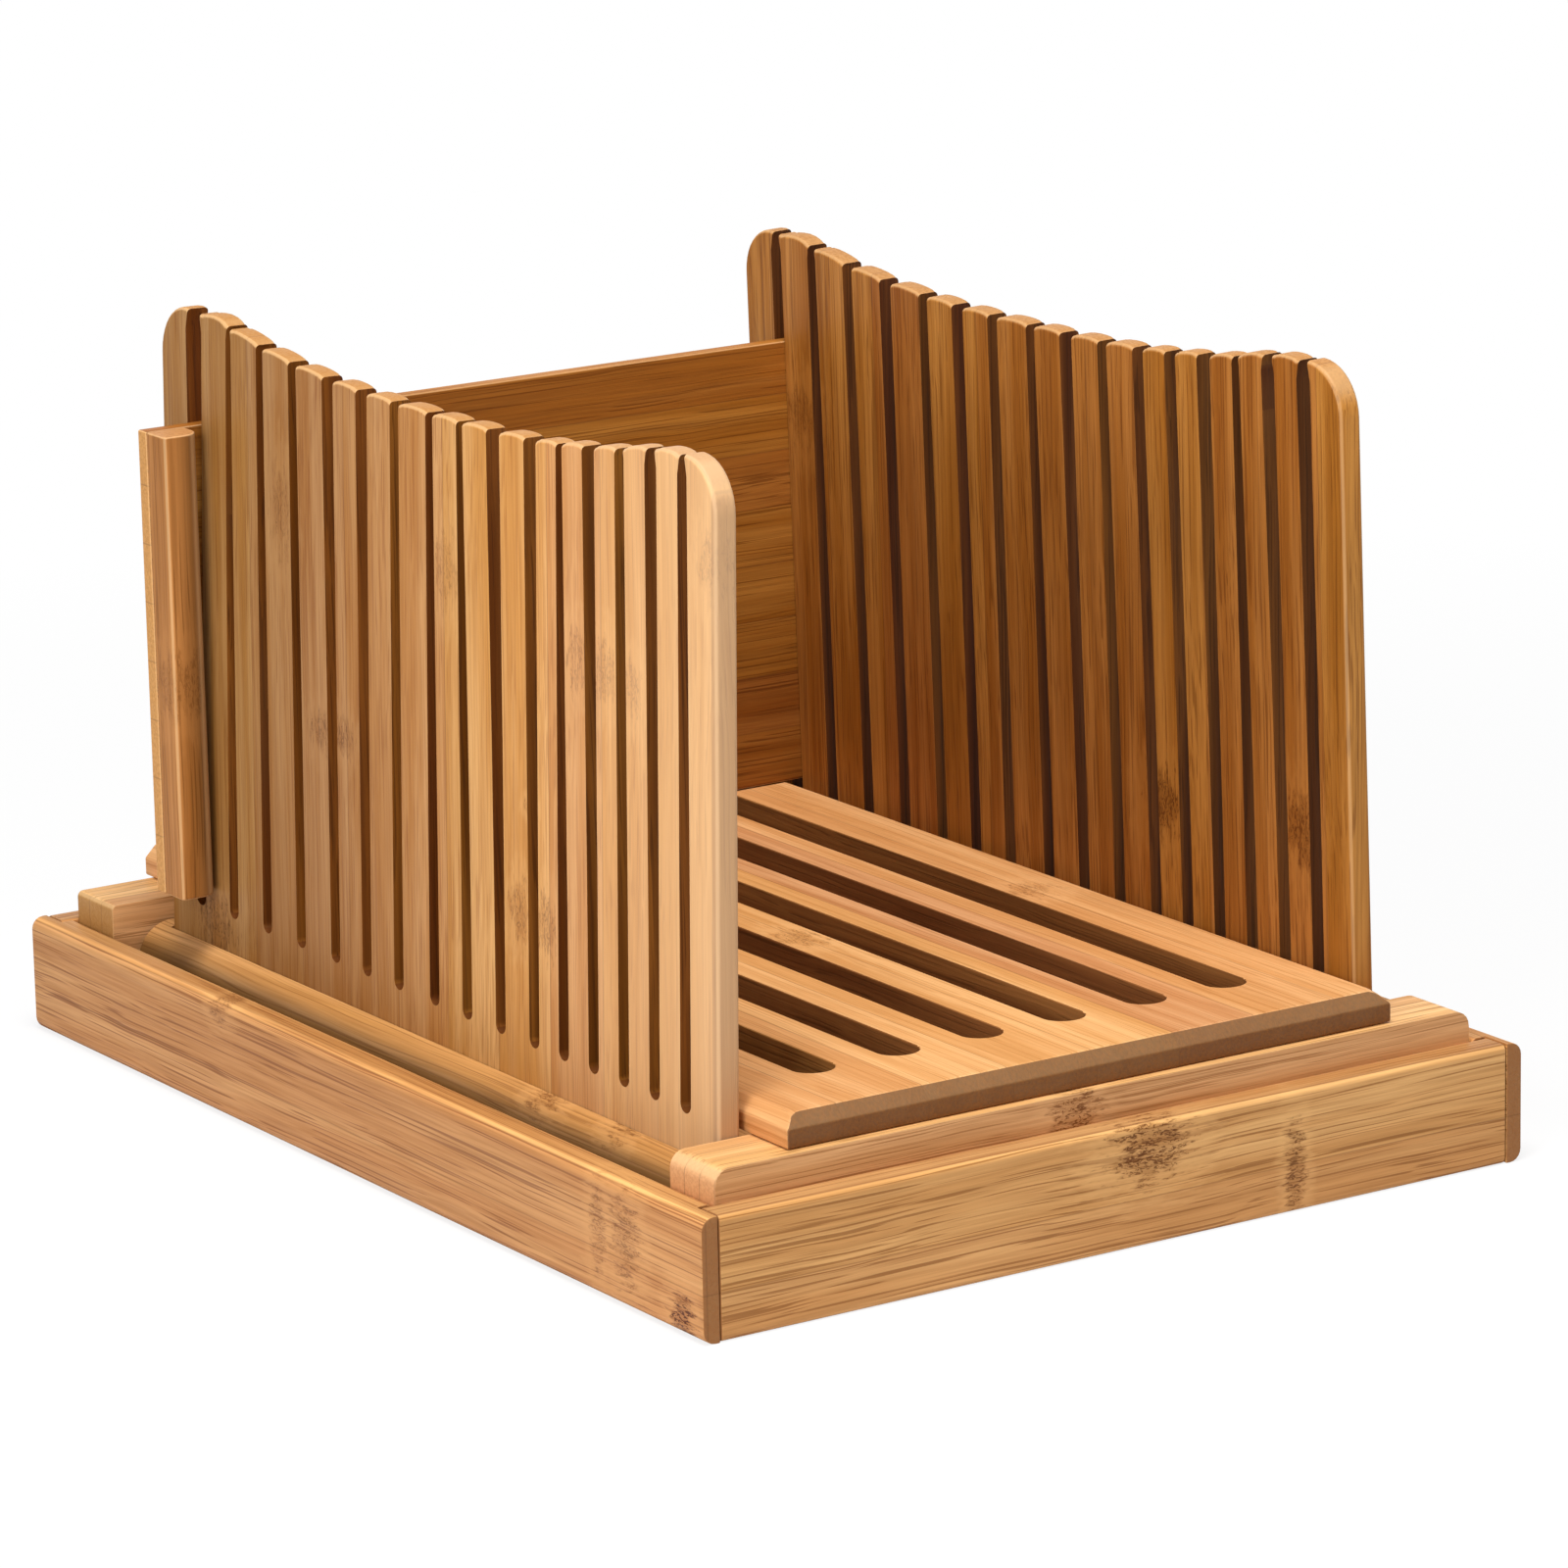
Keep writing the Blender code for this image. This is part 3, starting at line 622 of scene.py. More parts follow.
def end_in_boolean(tree, given, cutters):
    """Cuts the blank with the repeated cutters and ends the tree in its materials."""
    cutters = add(tree, "GeometryNodeRealizeInstances", feeds={"Geometry": cutters})
    sawn = add(
        tree, "GeometryNodeMeshBoolean", {"operation": "DIFFERENCE", "solver": "EXACT"},
        {"Mesh 1": given["Geometry"], "Mesh 2": cutters},
    )
    whole = add(tree, "GeometryNodeRealizeInstances", feeds={"Geometry": sawn})
    walls = add(tree, "GeometryNodeMaterialSelection", feeds={"Material": given["Slot Wall"]})
    faces = add(tree, "FunctionNodeBooleanMath", {"operation": "NOT"}, {0: walls})
    done = add(
        tree, "GeometryNodeSetMaterial",
        feeds={"Geometry": whole, "Selection": faces, "Material": given["Face"]},
    )
    add(tree, "NodeGroupOutput", feeds={"Geometry": done})


def crumb_slot_tree():
    """Mills the row of crumb slots through the deck: one long cutter with round ends."""
    sizes = {
        "Slot Radius": ("NodeSocketFloat", CRUMB_SLOT_RADIUS * MM),
        "Slot Pitch": ("NodeSocketFloat", CRUMB_SLOT_PITCH * MM),
        "Slot Half Length": ("NodeSocketFloat", (CRUMB_SLOT_ENDS[1] - CRUMB_SLOT_ENDS[0]) / 2 * MM),
        "Slot Middle": ("NodeSocketFloat", sum(CRUMB_SLOT_ENDS) / 2 * MM),
        "Slot Height": ("NodeSocketFloat", (DECK_BOTTOM + DECK_THICKNESS / 2) * MM),
        "Slots": ("NodeSocketInt", CRUMB_SLOTS),
        "Cutter Depth": ("NodeSocketFloat", MILL_DEPTH * MM),
        "Face": ("NodeSocketMaterial", None),
        "Slot Wall": ("NodeSocketMaterial", None),
    }
    tree = geometry_tree("crumb slots", sizes)
    given = tree.nodes.new("NodeGroupInput").outputs
    cutter = add(
        tree, "GeometryNodeMeshCylinder", {"fill_type": "NGON"},
        {"Vertices": 48, "Radius": given["Slot Radius"], "Depth": given["Cutter Depth"]},
    )
    place = add(tree, "GeometryNodeInputPosition")
    split = add(tree, "ShaderNodeSeparateXYZ", feeds={0: place}).node
    # the round cutter's two halves are drawn apart to the ends of the slot
    steep = add(tree, "ShaderNodeMath", {"operation": "MULTIPLY"}, {0: split.outputs["Y"], 1: 1e6})
    way = add(tree, "ShaderNodeClamp", feeds={"Value": steep, "Min": -1.0, "Max": 1.0})
    straight = add(
        tree, "ShaderNodeMath", {"operation": "SUBTRACT"},
        {0: given["Slot Half Length"], 1: given["Slot Radius"]},
    )
    reach = add(tree, "ShaderNodeMath", {"operation": "MULTIPLY"}, {0: way, 1: straight})
    shift = add(tree, "ShaderNodeCombineXYZ", feeds={"Y": reach})
    cutter = add(tree, "GeometryNodeSetPosition", feeds={"Geometry": cutter, "Offset": shift})
    cutter = add(
        tree, "GeometryNodeSetMaterial",
        feeds={"Geometry": cutter, "Material": given["Slot Wall"]},
    )
    row = add(tree, "GeometryNodeMeshLine", feeds={"Count": given["Slots"]})
    index = add(tree, "GeometryNodeInputIndex")
    last = add(tree, "ShaderNodeMath", {"operation": "SUBTRACT"}, {0: given["Slots"], 1: 1.0})
    half = add(tree, "ShaderNodeMath", {"operation": "MULTIPLY"}, {0: last, 1: 0.5})
    step = add(tree, "ShaderNodeMath", {"operation": "SUBTRACT"}, {0: index, 1: half})
    across = add(tree, "ShaderNodeMath", {"operation": "MULTIPLY"}, {0: step, 1: given["Slot Pitch"]})
    spot = add(
        tree, "ShaderNodeCombineXYZ",
        feeds={"X": across, "Y": given["Slot Middle"], "Z": given["Slot Height"]},
    )
    row = add(tree, "GeometryNodeSetPosition", feeds={"Geometry": row, "Position": spot})
    mills = add(tree, "GeometryNodeInstanceOnPoints", feeds={"Points": row, "Instance": cutter})
    end_in_boolean(tree, given, mills)
    return tree


def screw_tree():
    """Turns a countersunk screw, cuts its cross, winds its thread, and sets one at each end."""
    core = (SCREW_SHANK_RADIUS - THREAD_DEPTH) * MM
    sizes = {
        "Head Radius": ("NodeSocketFloat", SCREW_HEAD_RADIUS * MM),
        "Shank Radius": ("NodeSocketFloat", core),
        "Head Depth": ("NodeSocketFloat", SCREW_HEAD_DEPTH * MM),
        "Shank End": ("NodeSocketFloat", SCREW_SHANK_END * MM),
        "Length": ("NodeSocketFloat", SCREW_LENGTH * MM),
        "Thread Turns": ("NodeSocketFloat", THREAD_TURNS),
        "Thread Start": ("NodeSocketFloat", THREAD_START * MM),
        "Thread Radius": ("NodeSocketFloat", core),
        "Thread Depth": ("NodeSocketFloat", THREAD_DEPTH * MM),
        "Cross Width": ("NodeSocketFloat", CROSS_WIDTH * MM),
        "Cross Length": ("NodeSocketFloat", CROSS_LENGTH * MM),
        "Cross Depth": ("NodeSocketFloat", CROSS_DEPTH * MM),
        "Head Place": ("NodeSocketFloat", SCREW_HEAD_Y * MM),
        "Axis Side": ("NodeSocketFloat", 0.0),
        "Axis Height": ("NodeSocketFloat", BAR_AXIS[1] * MM),
        "Steel": ("NodeSocketMaterial", None),
    }
    tree = geometry_tree("pivot screws", sizes)
    given = tree.nodes.new("NodeGroupInput").outputs
    # a straight path with a radius at each of its points, head at the origin, tip down
    path = add(tree, "GeometryNodeMeshLine", feeds={"Count": 6})
    index = add(tree, "GeometryNodeInputIndex")
    rim = add(tree, "ShaderNodeMath", {"operation": "MULTIPLY"}, {0: given["Head Radius"], 1: 0.94})
    tip = add(tree, "ShaderNodeMath", {"operation": "MULTIPLY"}, {0: given["Shank Radius"], 1: 0.08})
    lip = add(tree, "ShaderNodeMath", {"operation": "MULTIPLY"}, {0: given["Head Depth"], 1: 0.12})
    depths = (0.0, lip, given["Head Depth"], given["Thread Start"], given["Shank End"], given["Length"])
    shank = given["Shank Radius"]
    radii = (rim, given["Head Radius"], shank, shank, shank, tip)
    chosen = []
    for values in (depths, radii):
        chooser = tree.nodes.new("GeometryNodeIndexSwitch")
        chooser.data_type = "FLOAT"
        while len(chooser.index_switch_items) < len(values):
            chooser.index_switch_items.new()
        tree.links.new(index, chooser.inputs["Index"])
        for number, value in enumerate(values):
            if isinstance(value, float):
                chooser.inputs[number + 1].default_value = value
            else:
                tree.links.new(value, chooser.inputs[number + 1])
        chosen.append(chooser.outputs[0])
    down = add(tree, "ShaderNodeMath", {"operation": "MULTIPLY"}, {0: chosen[0], 1: -1.0})
    spot = add(tree, "ShaderNodeCombineXYZ", feeds={"Z": down})
    path = add(tree, "GeometryNodeSetPosition", feeds={"Geometry": path, "Position": spot})
    path = add(tree, "GeometryNodeMeshToCurve", feeds={0: path})
    path = add(tree, "GeometryNodeSetCurveRadius", feeds={0: path, "Radius": chosen[1]})
    ring = add(tree, "GeometryNodeCurvePrimitiveCircle", feeds={"Resolution": 32, "Radius": 1.0})
    body = add(
        tree, "GeometryNodeCurveToMesh",
        feeds={"Curve": path, "Profile Curve": ring, "Scale": chosen[1], "Fill Caps": True},
    )
    # the cross: two crossed bars sunk in the head
    long_bar = add(
        tree, "ShaderNodeCombineXYZ",
        feeds={"X": given["Cross Length"], "Y": given["Cross Width"], "Z": given["Cross Depth"]},
    )
    short_bar = add(
        tree, "ShaderNodeCombineXYZ",
        feeds={"X": given["Cross Width"], "Y": given["Cross Length"], "Z": given["Cross Depth"]},
    )
    for size in (long_bar, short_bar):
        bar = add(tree, "GeometryNodeMeshCube", feeds={"Size": size})
        body = add(
            tree, "GeometryNodeMeshBoolean", {"operation": "DIFFERENCE", "solver": "EXACT"},
            {"Mesh 1": body, "Mesh 2": bar},
        )
    # the thread: a ridge wound round the shank
    run = add(
        tree, "ShaderNodeMath", {"operation": "SUBTRACT"},
        {0: given["Thread Start"], 1: given["Shank End"]},
    )
    thread = add(
        tree, "GeometryNodeCurveSpiral",
        feeds={
            "Resolution": 20, "Rotations": given["Thread Turns"], "Height": run,
            "Start Radius": given["Thread Radius"], "End Radius": given["Thread Radius"],
        },
    )
    start = add(tree, "ShaderNodeMath", {"operation": "MULTIPLY"}, {0: given["Thread Start"], 1: -1.0})
    start = add(tree, "ShaderNodeCombineXYZ", feeds={"Z": start})
    thread = add(tree, "GeometryNodeTransform", feeds={"Geometry": thread, "Translation": start})
    ridge = add(
        tree, "GeometryNodeCurvePrimitiveCircle",
        feeds={"Resolution": 4, "Radius": given["Thread Depth"]},
    )
    thread = add(
        tree, "GeometryNodeCurveToMesh",
        feeds={"Curve": thread, "Profile Curve": ridge, "Fill Caps": True},
    )
    screw = tree.nodes.new("GeometryNodeJoinGeometry")
    for part in (body, thread):
        tree.links.new(part, screw.inputs[0])
    # one at each end of the bar, heads outward
    ends = add(tree, "GeometryNodeMeshLine", feeds={"Count": 2})
    index = add(tree, "GeometryNodeInputIndex")
    way = add(tree, "ShaderNodeMath", {"operation": "MULTIPLY_ADD"}, {0: index, 1: 2.0, 2: -1.0})
    along = add(tree, "ShaderNodeMath", {"operation": "MULTIPLY"}, {0: way, 1: given["Head Place"]})
    spot = add(
        tree, "ShaderNodeCombineXYZ",
        feeds={"X": given["Axis Side"], "Y": along, "Z": given["Axis Height"]},
    )
    ends = add(tree, "GeometryNodeSetPosition", feeds={"Geometry": ends, "Position": spot})
    turn = add(tree, "ShaderNodeMath", {"operation": "MULTIPLY"}, {0: way, 1: -math.pi / 2})
    turn = add(tree, "ShaderNodeCombineXYZ", feeds={"X": turn})
    pair = add(
        tree, "GeometryNodeInstanceOnPoints",
        feeds={"Points": ends, "Instance": screw.outputs[0], "Rotation": turn},
    )
    pair = add(tree, "GeometryNodeRealizeInstances", feeds={"Geometry": pair})
    pair = add(tree, "GeometryNodeSetMaterial", feeds={"Geometry": pair, "Material": given["Steel"]})
    add(tree, "NodeGroupOutput", feeds={"Geometry": pair})
    return tree


# ---------------------------------------------------------------- pieces


def comb_outline():
    """Side view (y, z) of a comb before its slots are sawn."""
    front, rear = COMB_ENDS
    points = [(front, COMB_BOTTOM), (rear, COMB_BOTTOM)]
    points += corner((rear - COMB_CORNER, COMB_TOP - COMB_CORNER), COMB_CORNER, 0)
    for start, end in reversed(fingers()):
        for share, drop in TIP_CROWN:
            y = start + (end - start) * share
            if front + COMB_CORNER + TIP_MARGIN < y < rear - COMB_CORNER - TIP_MARGIN:
                points.append((y, comb_top(y) - drop))
    points += corner((front + COMB_CORNER, COMB_TOP - COMB_CORNER), COMB_CORNER, 90)
    return points


def round_rim(piece):
    """Rounds the long edges of a comb's blank with a router, all but those at its foot."""
    work = bmesh.new()
    work.from_mesh(piece.data)
    rim = []
    for edge in work.edges:
        caps = [face for face in edge.link_faces if abs(face.normal.x) > 0.9]
        if len(caps) == 1 and max(vert.co.z for vert in edge.verts) > (COMB_BOTTOM + 1) * MM:
            rim.append(edge)
    bmesh.ops.bevel(
        work, geom=rim, offset=COMB_RIM * MM, segments=4, profile=0.5, affect="EDGES",
        clamp_overlap=False,
    )
    bmesh.ops.recalc_face_normals(work, faces=work.faces)
    work.to_mesh(piece.data)
    work.free()


def finger_tips(piece):
    """Numbers of the edges where slots come out at the top, which wear rounder than the rest."""
    work = bmesh.new()
    work.from_mesh(piece.data)
    found = set()
    for edge in work.edges:
        low = min(vert.co.z / MM - comb_top(vert.co.y / MM) for vert in edge.verts)
        walls = any(abs(face.normal.y) > 0.95 for face in edge.link_faces)
        if low > -COMB_RIM - TIP_MARGIN and walls:
            found.add(edge.index)
    work.free()
    return found


def warp_fingers(piece, tips):
    """Bends each finger, as bamboo does in drying, by how far its tip stands forward in mm."""
    gaps = [(before + after) / 2 for (_, before), (after, _) in zip(fingers(), fingers()[1:])]
    for vert in piece.data.vertices:
        share = (vert.co.z / MM - KNIFE_SLOT_BOTTOM) / (COMB_TOP - KNIFE_SLOT_BOTTOM)
        if share <= 0:
            continue
        number = sum(1 for gap in gaps if vert.co.y > gap * MM)
        vert.co.y -= tips[number] * MM * share ** 1.5


def lean(piece, sign):
    """Leans a comb inward about its bar's axis, as it stands in the photograph."""
    x, z = sign * BAR_AXIS[0] * MM, BAR_AXIS[1] * MM
    turn = Matrix.Rotation(-sign * math.radians(COMB_LEAN), 4, "Y")
    piece.data.transform(Matrix.Translation((x, 0, z)) @ turn @ Matrix.Translation((-x, 0, -z)))


def comb(side, sign, tree, tips, face, wall):
    """One slotted guide: routed blank, sawn slots, eased edges, bent fingers, then leant."""
    inner, outer = COMB_FACES
    middle = sign * (inner + outer) / 2 * MM
    piece = prism(side + "_comb", comb_outline(), sign * inner, sign * outer)
    round_rim(piece)
    use_tree(piece, tree, {"Comb Middle": middle, "Face": face, "Slot Wall": wall})
    ease_edges(piece, COMB_EASE, steps=4, more=finger_tips(piece), wide=TIP_EASE)
    warp_fingers(piece, tips)
    lean(piece, sign)
    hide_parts(side + "_guide")
    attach(piece, side + "_swing")


def deck(tree, face, wall):
    """The slotted board: planed to a chamfer at the front and both sides, front corners sanded."""
    front, rear = DECK_ENDS
    low, high = DECK_BOTTOM, DECK_BOTTOM + DECK_THICKNESS
    outline = [(front, low), (rear, low), (rear, high), (front, high)]
    piece = prism("deck", outline, -DECK_HALF_WIDTH, DECK_HALF_WIDTH)
    work = bmesh.new()
    work.from_mesh(piece.data)
    planed = [
        edge for edge in work.edges
        if min(vert.co.z for vert in edge.verts) > (high - HAIR) * MM
        and min(vert.co.y for vert in edge.verts) < 0
    ]
    bmesh.ops.bevel(work, geom=planed, offset=DECK_CHAMFER * MM, segments=1, affect="EDGES")
    corners = [vert for vert in work.verts if vert.co.z > (high - HAIR) * MM and vert.co.y < 0]
    bmesh.ops.bevel(
        work, geom=corners, offset=DECK_CORNER * MM, segments=3, profile=0.5, affect="VERTICES"
    )
    bmesh.ops.recalc_face_normals(work, faces=work.faces)
    work.to_mesh(piece.data)
    work.free()
    use_tree(piece, tree, {"Face": face, "Slot Wall": wall})
    ease_edges(piece, DECK_EASE)
    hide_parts("deck_board")
    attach(piece, "deck")


def tighten_ends(piece, radius):
    """Draws the round top ends of a rail out to a smaller radius, nearer to square."""
    middle_x = RAIL_OUTER_X - RAIL_END_ROUND
    middle_z = RAIL_TOP - RAIL_END_ROUND
    for vert in piece.data.vertices:
        out, up = abs(vert.co.x) / MM - middle_x, vert.co.z / MM - middle_z
        if min(out, up) > -HAIR:
            angle = math.atan2(max(up, 0.0), max(out, 0.0))
            x = RAIL_OUTER_X - radius + radius * math.cos(angle)
            vert.co.x = math.copysign(x * MM, vert.co.x)
            vert.co.z = (RAIL_TOP - radius + radius * math.sin(angle)) * MM


def eased(node, name, body, radius, finish):
    """One piece shaped as its node is, with its edges eased to a radius in mm."""
    piece = from_node(node, name)
    if node in SANDED_RAIL_ENDS:
        tighten_ends(piece, SANDED_RAIL_ENDS[node])
    piece.data.materials.append(finish)
    ease_edges(piece, radius)
    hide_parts(node)
    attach(piece, body)


# Knuckles that show. Each one's middle along and across the grain, half its length,
# half its width, all in mm, and its strength
LEFT_COMB_KNUCKLES = (
    (153.7, 67.5, 13, 6, 0.35),
    (100.3, 49.2, 6, 7, 0.5),
    (101.1, 37.3, 6, 6, 0.5),
    (153.3, -14.4, 11, 7, 0.3),
    (141.5, -74.6, 9, 6, 0.4),
    (141.4, -86.9, 9, 6, 0.4),
    (138.9, -99.0, 8, 5, 0.35),
    (174.8, -132.4, 9, 5, 0.4),
    (73.6, -47.4, 9, 6, 0.5),
    (73.5, -60.2, 9, 5, 0.5),
    (101.4, -52.9, 3, 3, 0.4),
    (36.5, 104.6, 12, 11, 0.6),
)
RIGHT_COMB_KNUCKLES = (
    (74.9, -57.7, 10, 9, 0.9),
    (79.5, -116.3, 11, 8, 0.8),
    (150.0, 104.0, 10, 9, 0.4),
)
LEFT_SIDE_KNUCKLES = (
    (-119.1, 18.0, 4, 14, 0.45),
    (-131.4, 17.0, 7, 13, 0.5),
    (-155.9, 5.0, 6, 7, 1.0),
    (62.9, 29.5, 6, 5, 0.5),
)
FRONT_END_KNUCKLES = ((6.8, 24.0, 14, 9, 0.9), (50.1, 10.0, 3.6, 14, 0.8))
FRONT_RAIL_KNUCKLES = ((-8.3, 33.0, 8, 8, 0.8),)
DECK_KNUCKLES = ((-22.0, 72.4, 9, 9, 0.45), (-24.8, -0.6, 10, 7, 0.5))
BAR_KNUCKLES = ((-96.9, -94.0, 7, 9, 0.6), (-63.1, -97.0, 8, 6, 0.6))
LEFT_CLEAT_KNUCKLES = ((103.6, 104.2, 10, 8, 0.4),)

# Width of the glued strips across and through a piece, and where they start, in mm
COMB_STRIP = (24.2, 60.0)
TRAY_STRIP = (18.6, 9.0)
TRAY_SHIFT = (6.6, 2.0)
ROUND_STRIP = (30.0, 30.0)

# How far each finger's tip stands forward of straight, front finger first, in mm
LEFT_TIPS = (
    -1.0, -0.4, -1.0, -0.5, -1.4, 0.6, -0.5, -2.2, -0.3, 1.1, 1.5, 0.4, -0.7, 0.0, 1.3, 3.4, 0.0,
)
RIGHT_TIPS = (
    -0.8, -1.7, -2.4, -0.8, -1.8, -1.9, -1.8, -1.1, -1.9, -0.8, -0.5, -1.1, -0.4, -1.1, -0.9, -0.2,
    0.0,
)

steel = screw_steel()
knife_slot_rule = knife_slot_tree()
comb(
    "left", -1, knife_slot_rule, LEFT_TIPS,
    bamboo(
        "left comb bamboo", "Z", "Y", light="F2B470", middle="DE994E", dark="A65E24", end="BE8748",
        strip=COMB_STRIP, shift=(13.0, 0.0), knuckles=LEFT_COMB_KNUCKLES, lines=0.4,
        # painted shade: darker towards the foot, towards the rear and on the front face; painted sheen:
        # paler towards the front
        painted_shading=(("Z", 165, 40, 0.91), ("Y", -125, 112, 0.48), ("Y", -133.2, -135.2, 0.55)),
        painted_sheen=("Y", -136, -40, 0.5), seed=1, worn=0.4,
    ),
    # painted shade: the slot walls take a much darker copy of the bamboo, for the shade inside the
    # slots
    bamboo(
        "left slot wall bamboo", "Z", "X", light="94581E", middle="693606", dark="482202",
        end="673404", roughness=0.6, worn=0.0, seed=2,
    ),
)
comb(
    "right", 1, knife_slot_rule, RIGHT_TIPS,
    bamboo(
        # painted shade: these face tones are darker than the left comb's, standing in for the shade on
        # the inner face; the fade darkens it below its top
        "right comb bamboo", "Z", "Y", light="CA8740", middle="AD6A26", dark="6E3608", end="C48C50",
        strip=COMB_STRIP, shift=(5.0, 0.0), knuckles=RIGHT_COMB_KNUCKLES, lines=0.55,
        painted_shading=(("Z", 190, 142, 0.8),), seed=3, worn=0.25,
    ),
    # painted shade: the slot walls take a much darker copy of the bamboo, for the shade inside the
    # slots
    bamboo(
        "right slot wall bamboo", "Z", "X", light="784519", middle="532806", dark="3A1C02",
        end="532804", roughness=0.6, worn=0.0, seed=4,
    ),
)
deck(
    crumb_slot_tree(),
    bamboo(
        "deck bamboo", "Y", "X", light="E8AE76", middle="D6975E", dark="A8682F", end="5C3719",
        strip=(CRUMB_SLOT_PITCH, 60.0), knuckles=DECK_KNUCKLES, lines=0.4, seed=5, worn=0.08,
    ),
    # painted shade: the crumb slot walls take a darker copy of the bamboo, for the shade inside the
    # slots
    bamboo(
        "crumb slot wall bamboo", "Y", "Z", light="A56E3A", middle="87542A", dark="5E3616",
        roughness=0.6, worn=0.0, seed=6,
    ),
)
for side, sign in SIDES:
    left = side == "left"
    eased(
        "tray_%s_wall" % side, side + "_tray_side", "tray", 0.5,
        bamboo(
            side + " tray side bamboo", "Y", "Z", light="FABC76", middle="E9A762", dark="985828",
            strip=TRAY_STRIP, shift=TRAY_SHIFT, lines=0.7,
            knuckles=LEFT_SIDE_KNUCKLES if left else ((40.0, 14.0, 7, 12, 0.6),),
            # painted shade: the faces darker below the top edge, so the top edge shows lit; painted
            # light: the wall paler towards its front
            painted_shading=(("Z", 30.3, 28.4, 0.77), ("Y", -165, -70, 0.88)), seed=7 + sign, worn=0.0,
        ),
    )
    eased(
        side + "_pivot_bar", side + "_bar", side + "_swing", 0.3,
        bamboo(
            side + " bar bamboo", "Y", "X", light="DAA265", middle="C48B4C", dark="8C5828",
            strip=ROUND_STRIP, shift=(110.0, 3.0),
            knuckles=BAR_KNUCKLES if left else ((50.0, 96.0, 8, 8, 0.6),),
            # painted shadow: the bar darker below its top, for the shaded groove by the tray wall
            painted_shading=(("Z", 31, 26.4, 0.42),), seed=10 + sign, worn=0.0,
        ),
    )
    eased(
        side + "_cleat", side + "_upright", "back_stop", 0.6,
        bamboo(
            side + " upright bamboo", "Z", "Y", light="BC7C46", middle="A0622E", dark="744218",
            end="C48C56", strip=ROUND_STRIP,
            knuckles=LEFT_CLEAT_KNUCKLES if left else ((80.0, 105.0, 9, 7, 0.5),),
            # painted shade: darker towards the inner edge, beside the comb
            painted_shading=(("X", sign * 107.6, sign * 100.0, 0.5),), seed=13 + sign,
        ),
    )
for end, way in ENDS:
    front = end == "front"
    eased(
        "tray_%s_wall" % end, end + "_tray_end", "tray", 0.5,
        bamboo(
            end + " tray end bamboo", "X", "Z", light="F1B777", middle="DA9C5E", dark="905726",
            strip=TRAY_STRIP, shift=TRAY_SHIFT, lines=0.7,
            knuckles=FRONT_END_KNUCKLES if front else ((-50.0, 16.0, 7, 13, 0.6),),
            # painted shade: the faces darker below the top edge, so the top edge shows lit
            painted_shading=(("Z", 30.3, 28.6, 0.78),), seed=16 + way, worn=0.0,
        ),
    )
    eased(
        end + "_rail", end + "_cross_rail", "frame", 0.8,
        bamboo(
            end + " rail bamboo", "X", "Z", light="F1BC82", middle="E0A86C", dark="9A6430",
            end="DCA472" if front else "B08248", strip=(60.0, 6.5), shift=(10.0, 0.0),
            knuckles=FRONT_RAIL_KNUCKLES if front else ((30.0, 26.0, 9, 10, 0.6),), seed=19 + way,
        ),
    )
eased(
    "tray_floor", "crumb_tray_floor", "tray", 0.3,
    bamboo(
        "tray floor bamboo", "Y", "X", strip=(20.0, 9.0), seed=22,
        knuckles=((20.0, 35.0, 6, 10, 0.6), (-70.0, -30.0, 6, 10, 0.6)),
    ),
)
eased(
    "back_board", "loaf_board", "back_stop", 0.5,
    bamboo(
        "back board bamboo", "X", "Z", light="C28038", middle="A66422", dark="6E390C", end="D39A58",
        strip=(15.5, 9.0), knuckles=((-30.0, 80.0, 8, 7, 0.5), (20.0, 128.0, 8, 7, 0.5)),
        # painted shade: darker towards the foot
        painted_shading=(("Z", 165, 60, 0.85),), seed=23,
    ),
)
pivot_screws = screw_tree()
for side, sign in SIDES:
    screws = new_piece(side + "_screws", bpy.data.meshes.new(side + "_screws"))
    use_tree(screws, pivot_screws, {"Axis Side": sign * BAR_AXIS[0] * MM, "Steel": steel})
    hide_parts(side + "_front_pivot_screw", side + "_rear_pivot_screw")
    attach(screws, side + "_swing")

# ---------------------------------------------------------------- camera, light, floor

# Camera places are in millimetres, its turns in degrees; lamps and floor are in metres
CAMERA_PLACE = (-966.118, -1505.495, 535.225)
CAMERA_YAW, CAMERA_PITCH, CAMERA_ROLL = 33.017, -14.235, -1.193
FOCAL_PIXELS = 7401.148
PICTURE = 1600
SENSOR = 36.0
VIEW_DEPTHS = (0.1, 20.0)
LAMP_AIM = (0, 0, 0.08)
LAMPS = (
    # name, place, width, watts
    ("overhead", (-0.3, -0.5, 2.3), 1.2, 59),
    ("side", (-1.6, -0.9, 0.75), 1.0, 19),
)
FLOOR_REACH = 6.0
SHADOW_REACH = (0.25, 0.7)


def set_camera():
    """Stands where the photograph was taken from, with the same field of view."""
    data = bpy.data.cameras.new("camera")
    data.sensor_width = SENSOR
    data.lens = FOCAL_PIXELS / PICTURE * SENSOR
    data.clip_start, data.clip_end = VIEW_DEPTHS
    eye = bpy.data.objects.new("camera", data)
    bpy.context.scene.collection.objects.link(eye)
    yaw, pitch, roll = (math.radians(a) for a in (CAMERA_YAW, CAMERA_PITCH, CAMERA_ROLL))
    level = math.cos(pitch)
    ahead = Vector((math.sin(yaw) * level, math.cos(yaw) * level, math.sin(pitch)))
    right = Vector((math.cos(yaw), -math.sin(yaw), 0))
    up = right.cross(ahead)
    right, up = (
        math.cos(roll) * right + math.sin(roll) * up,
        math.cos(roll) * up - math.sin(roll) * right,
    )
    matrix = Matrix((right, up, -ahead)).transposed().to_4x4()
    matrix.translation = Vector(CAMERA_PLACE) * MM
    eye.matrix_world = matrix
    bpy.context.scene.camera = eye


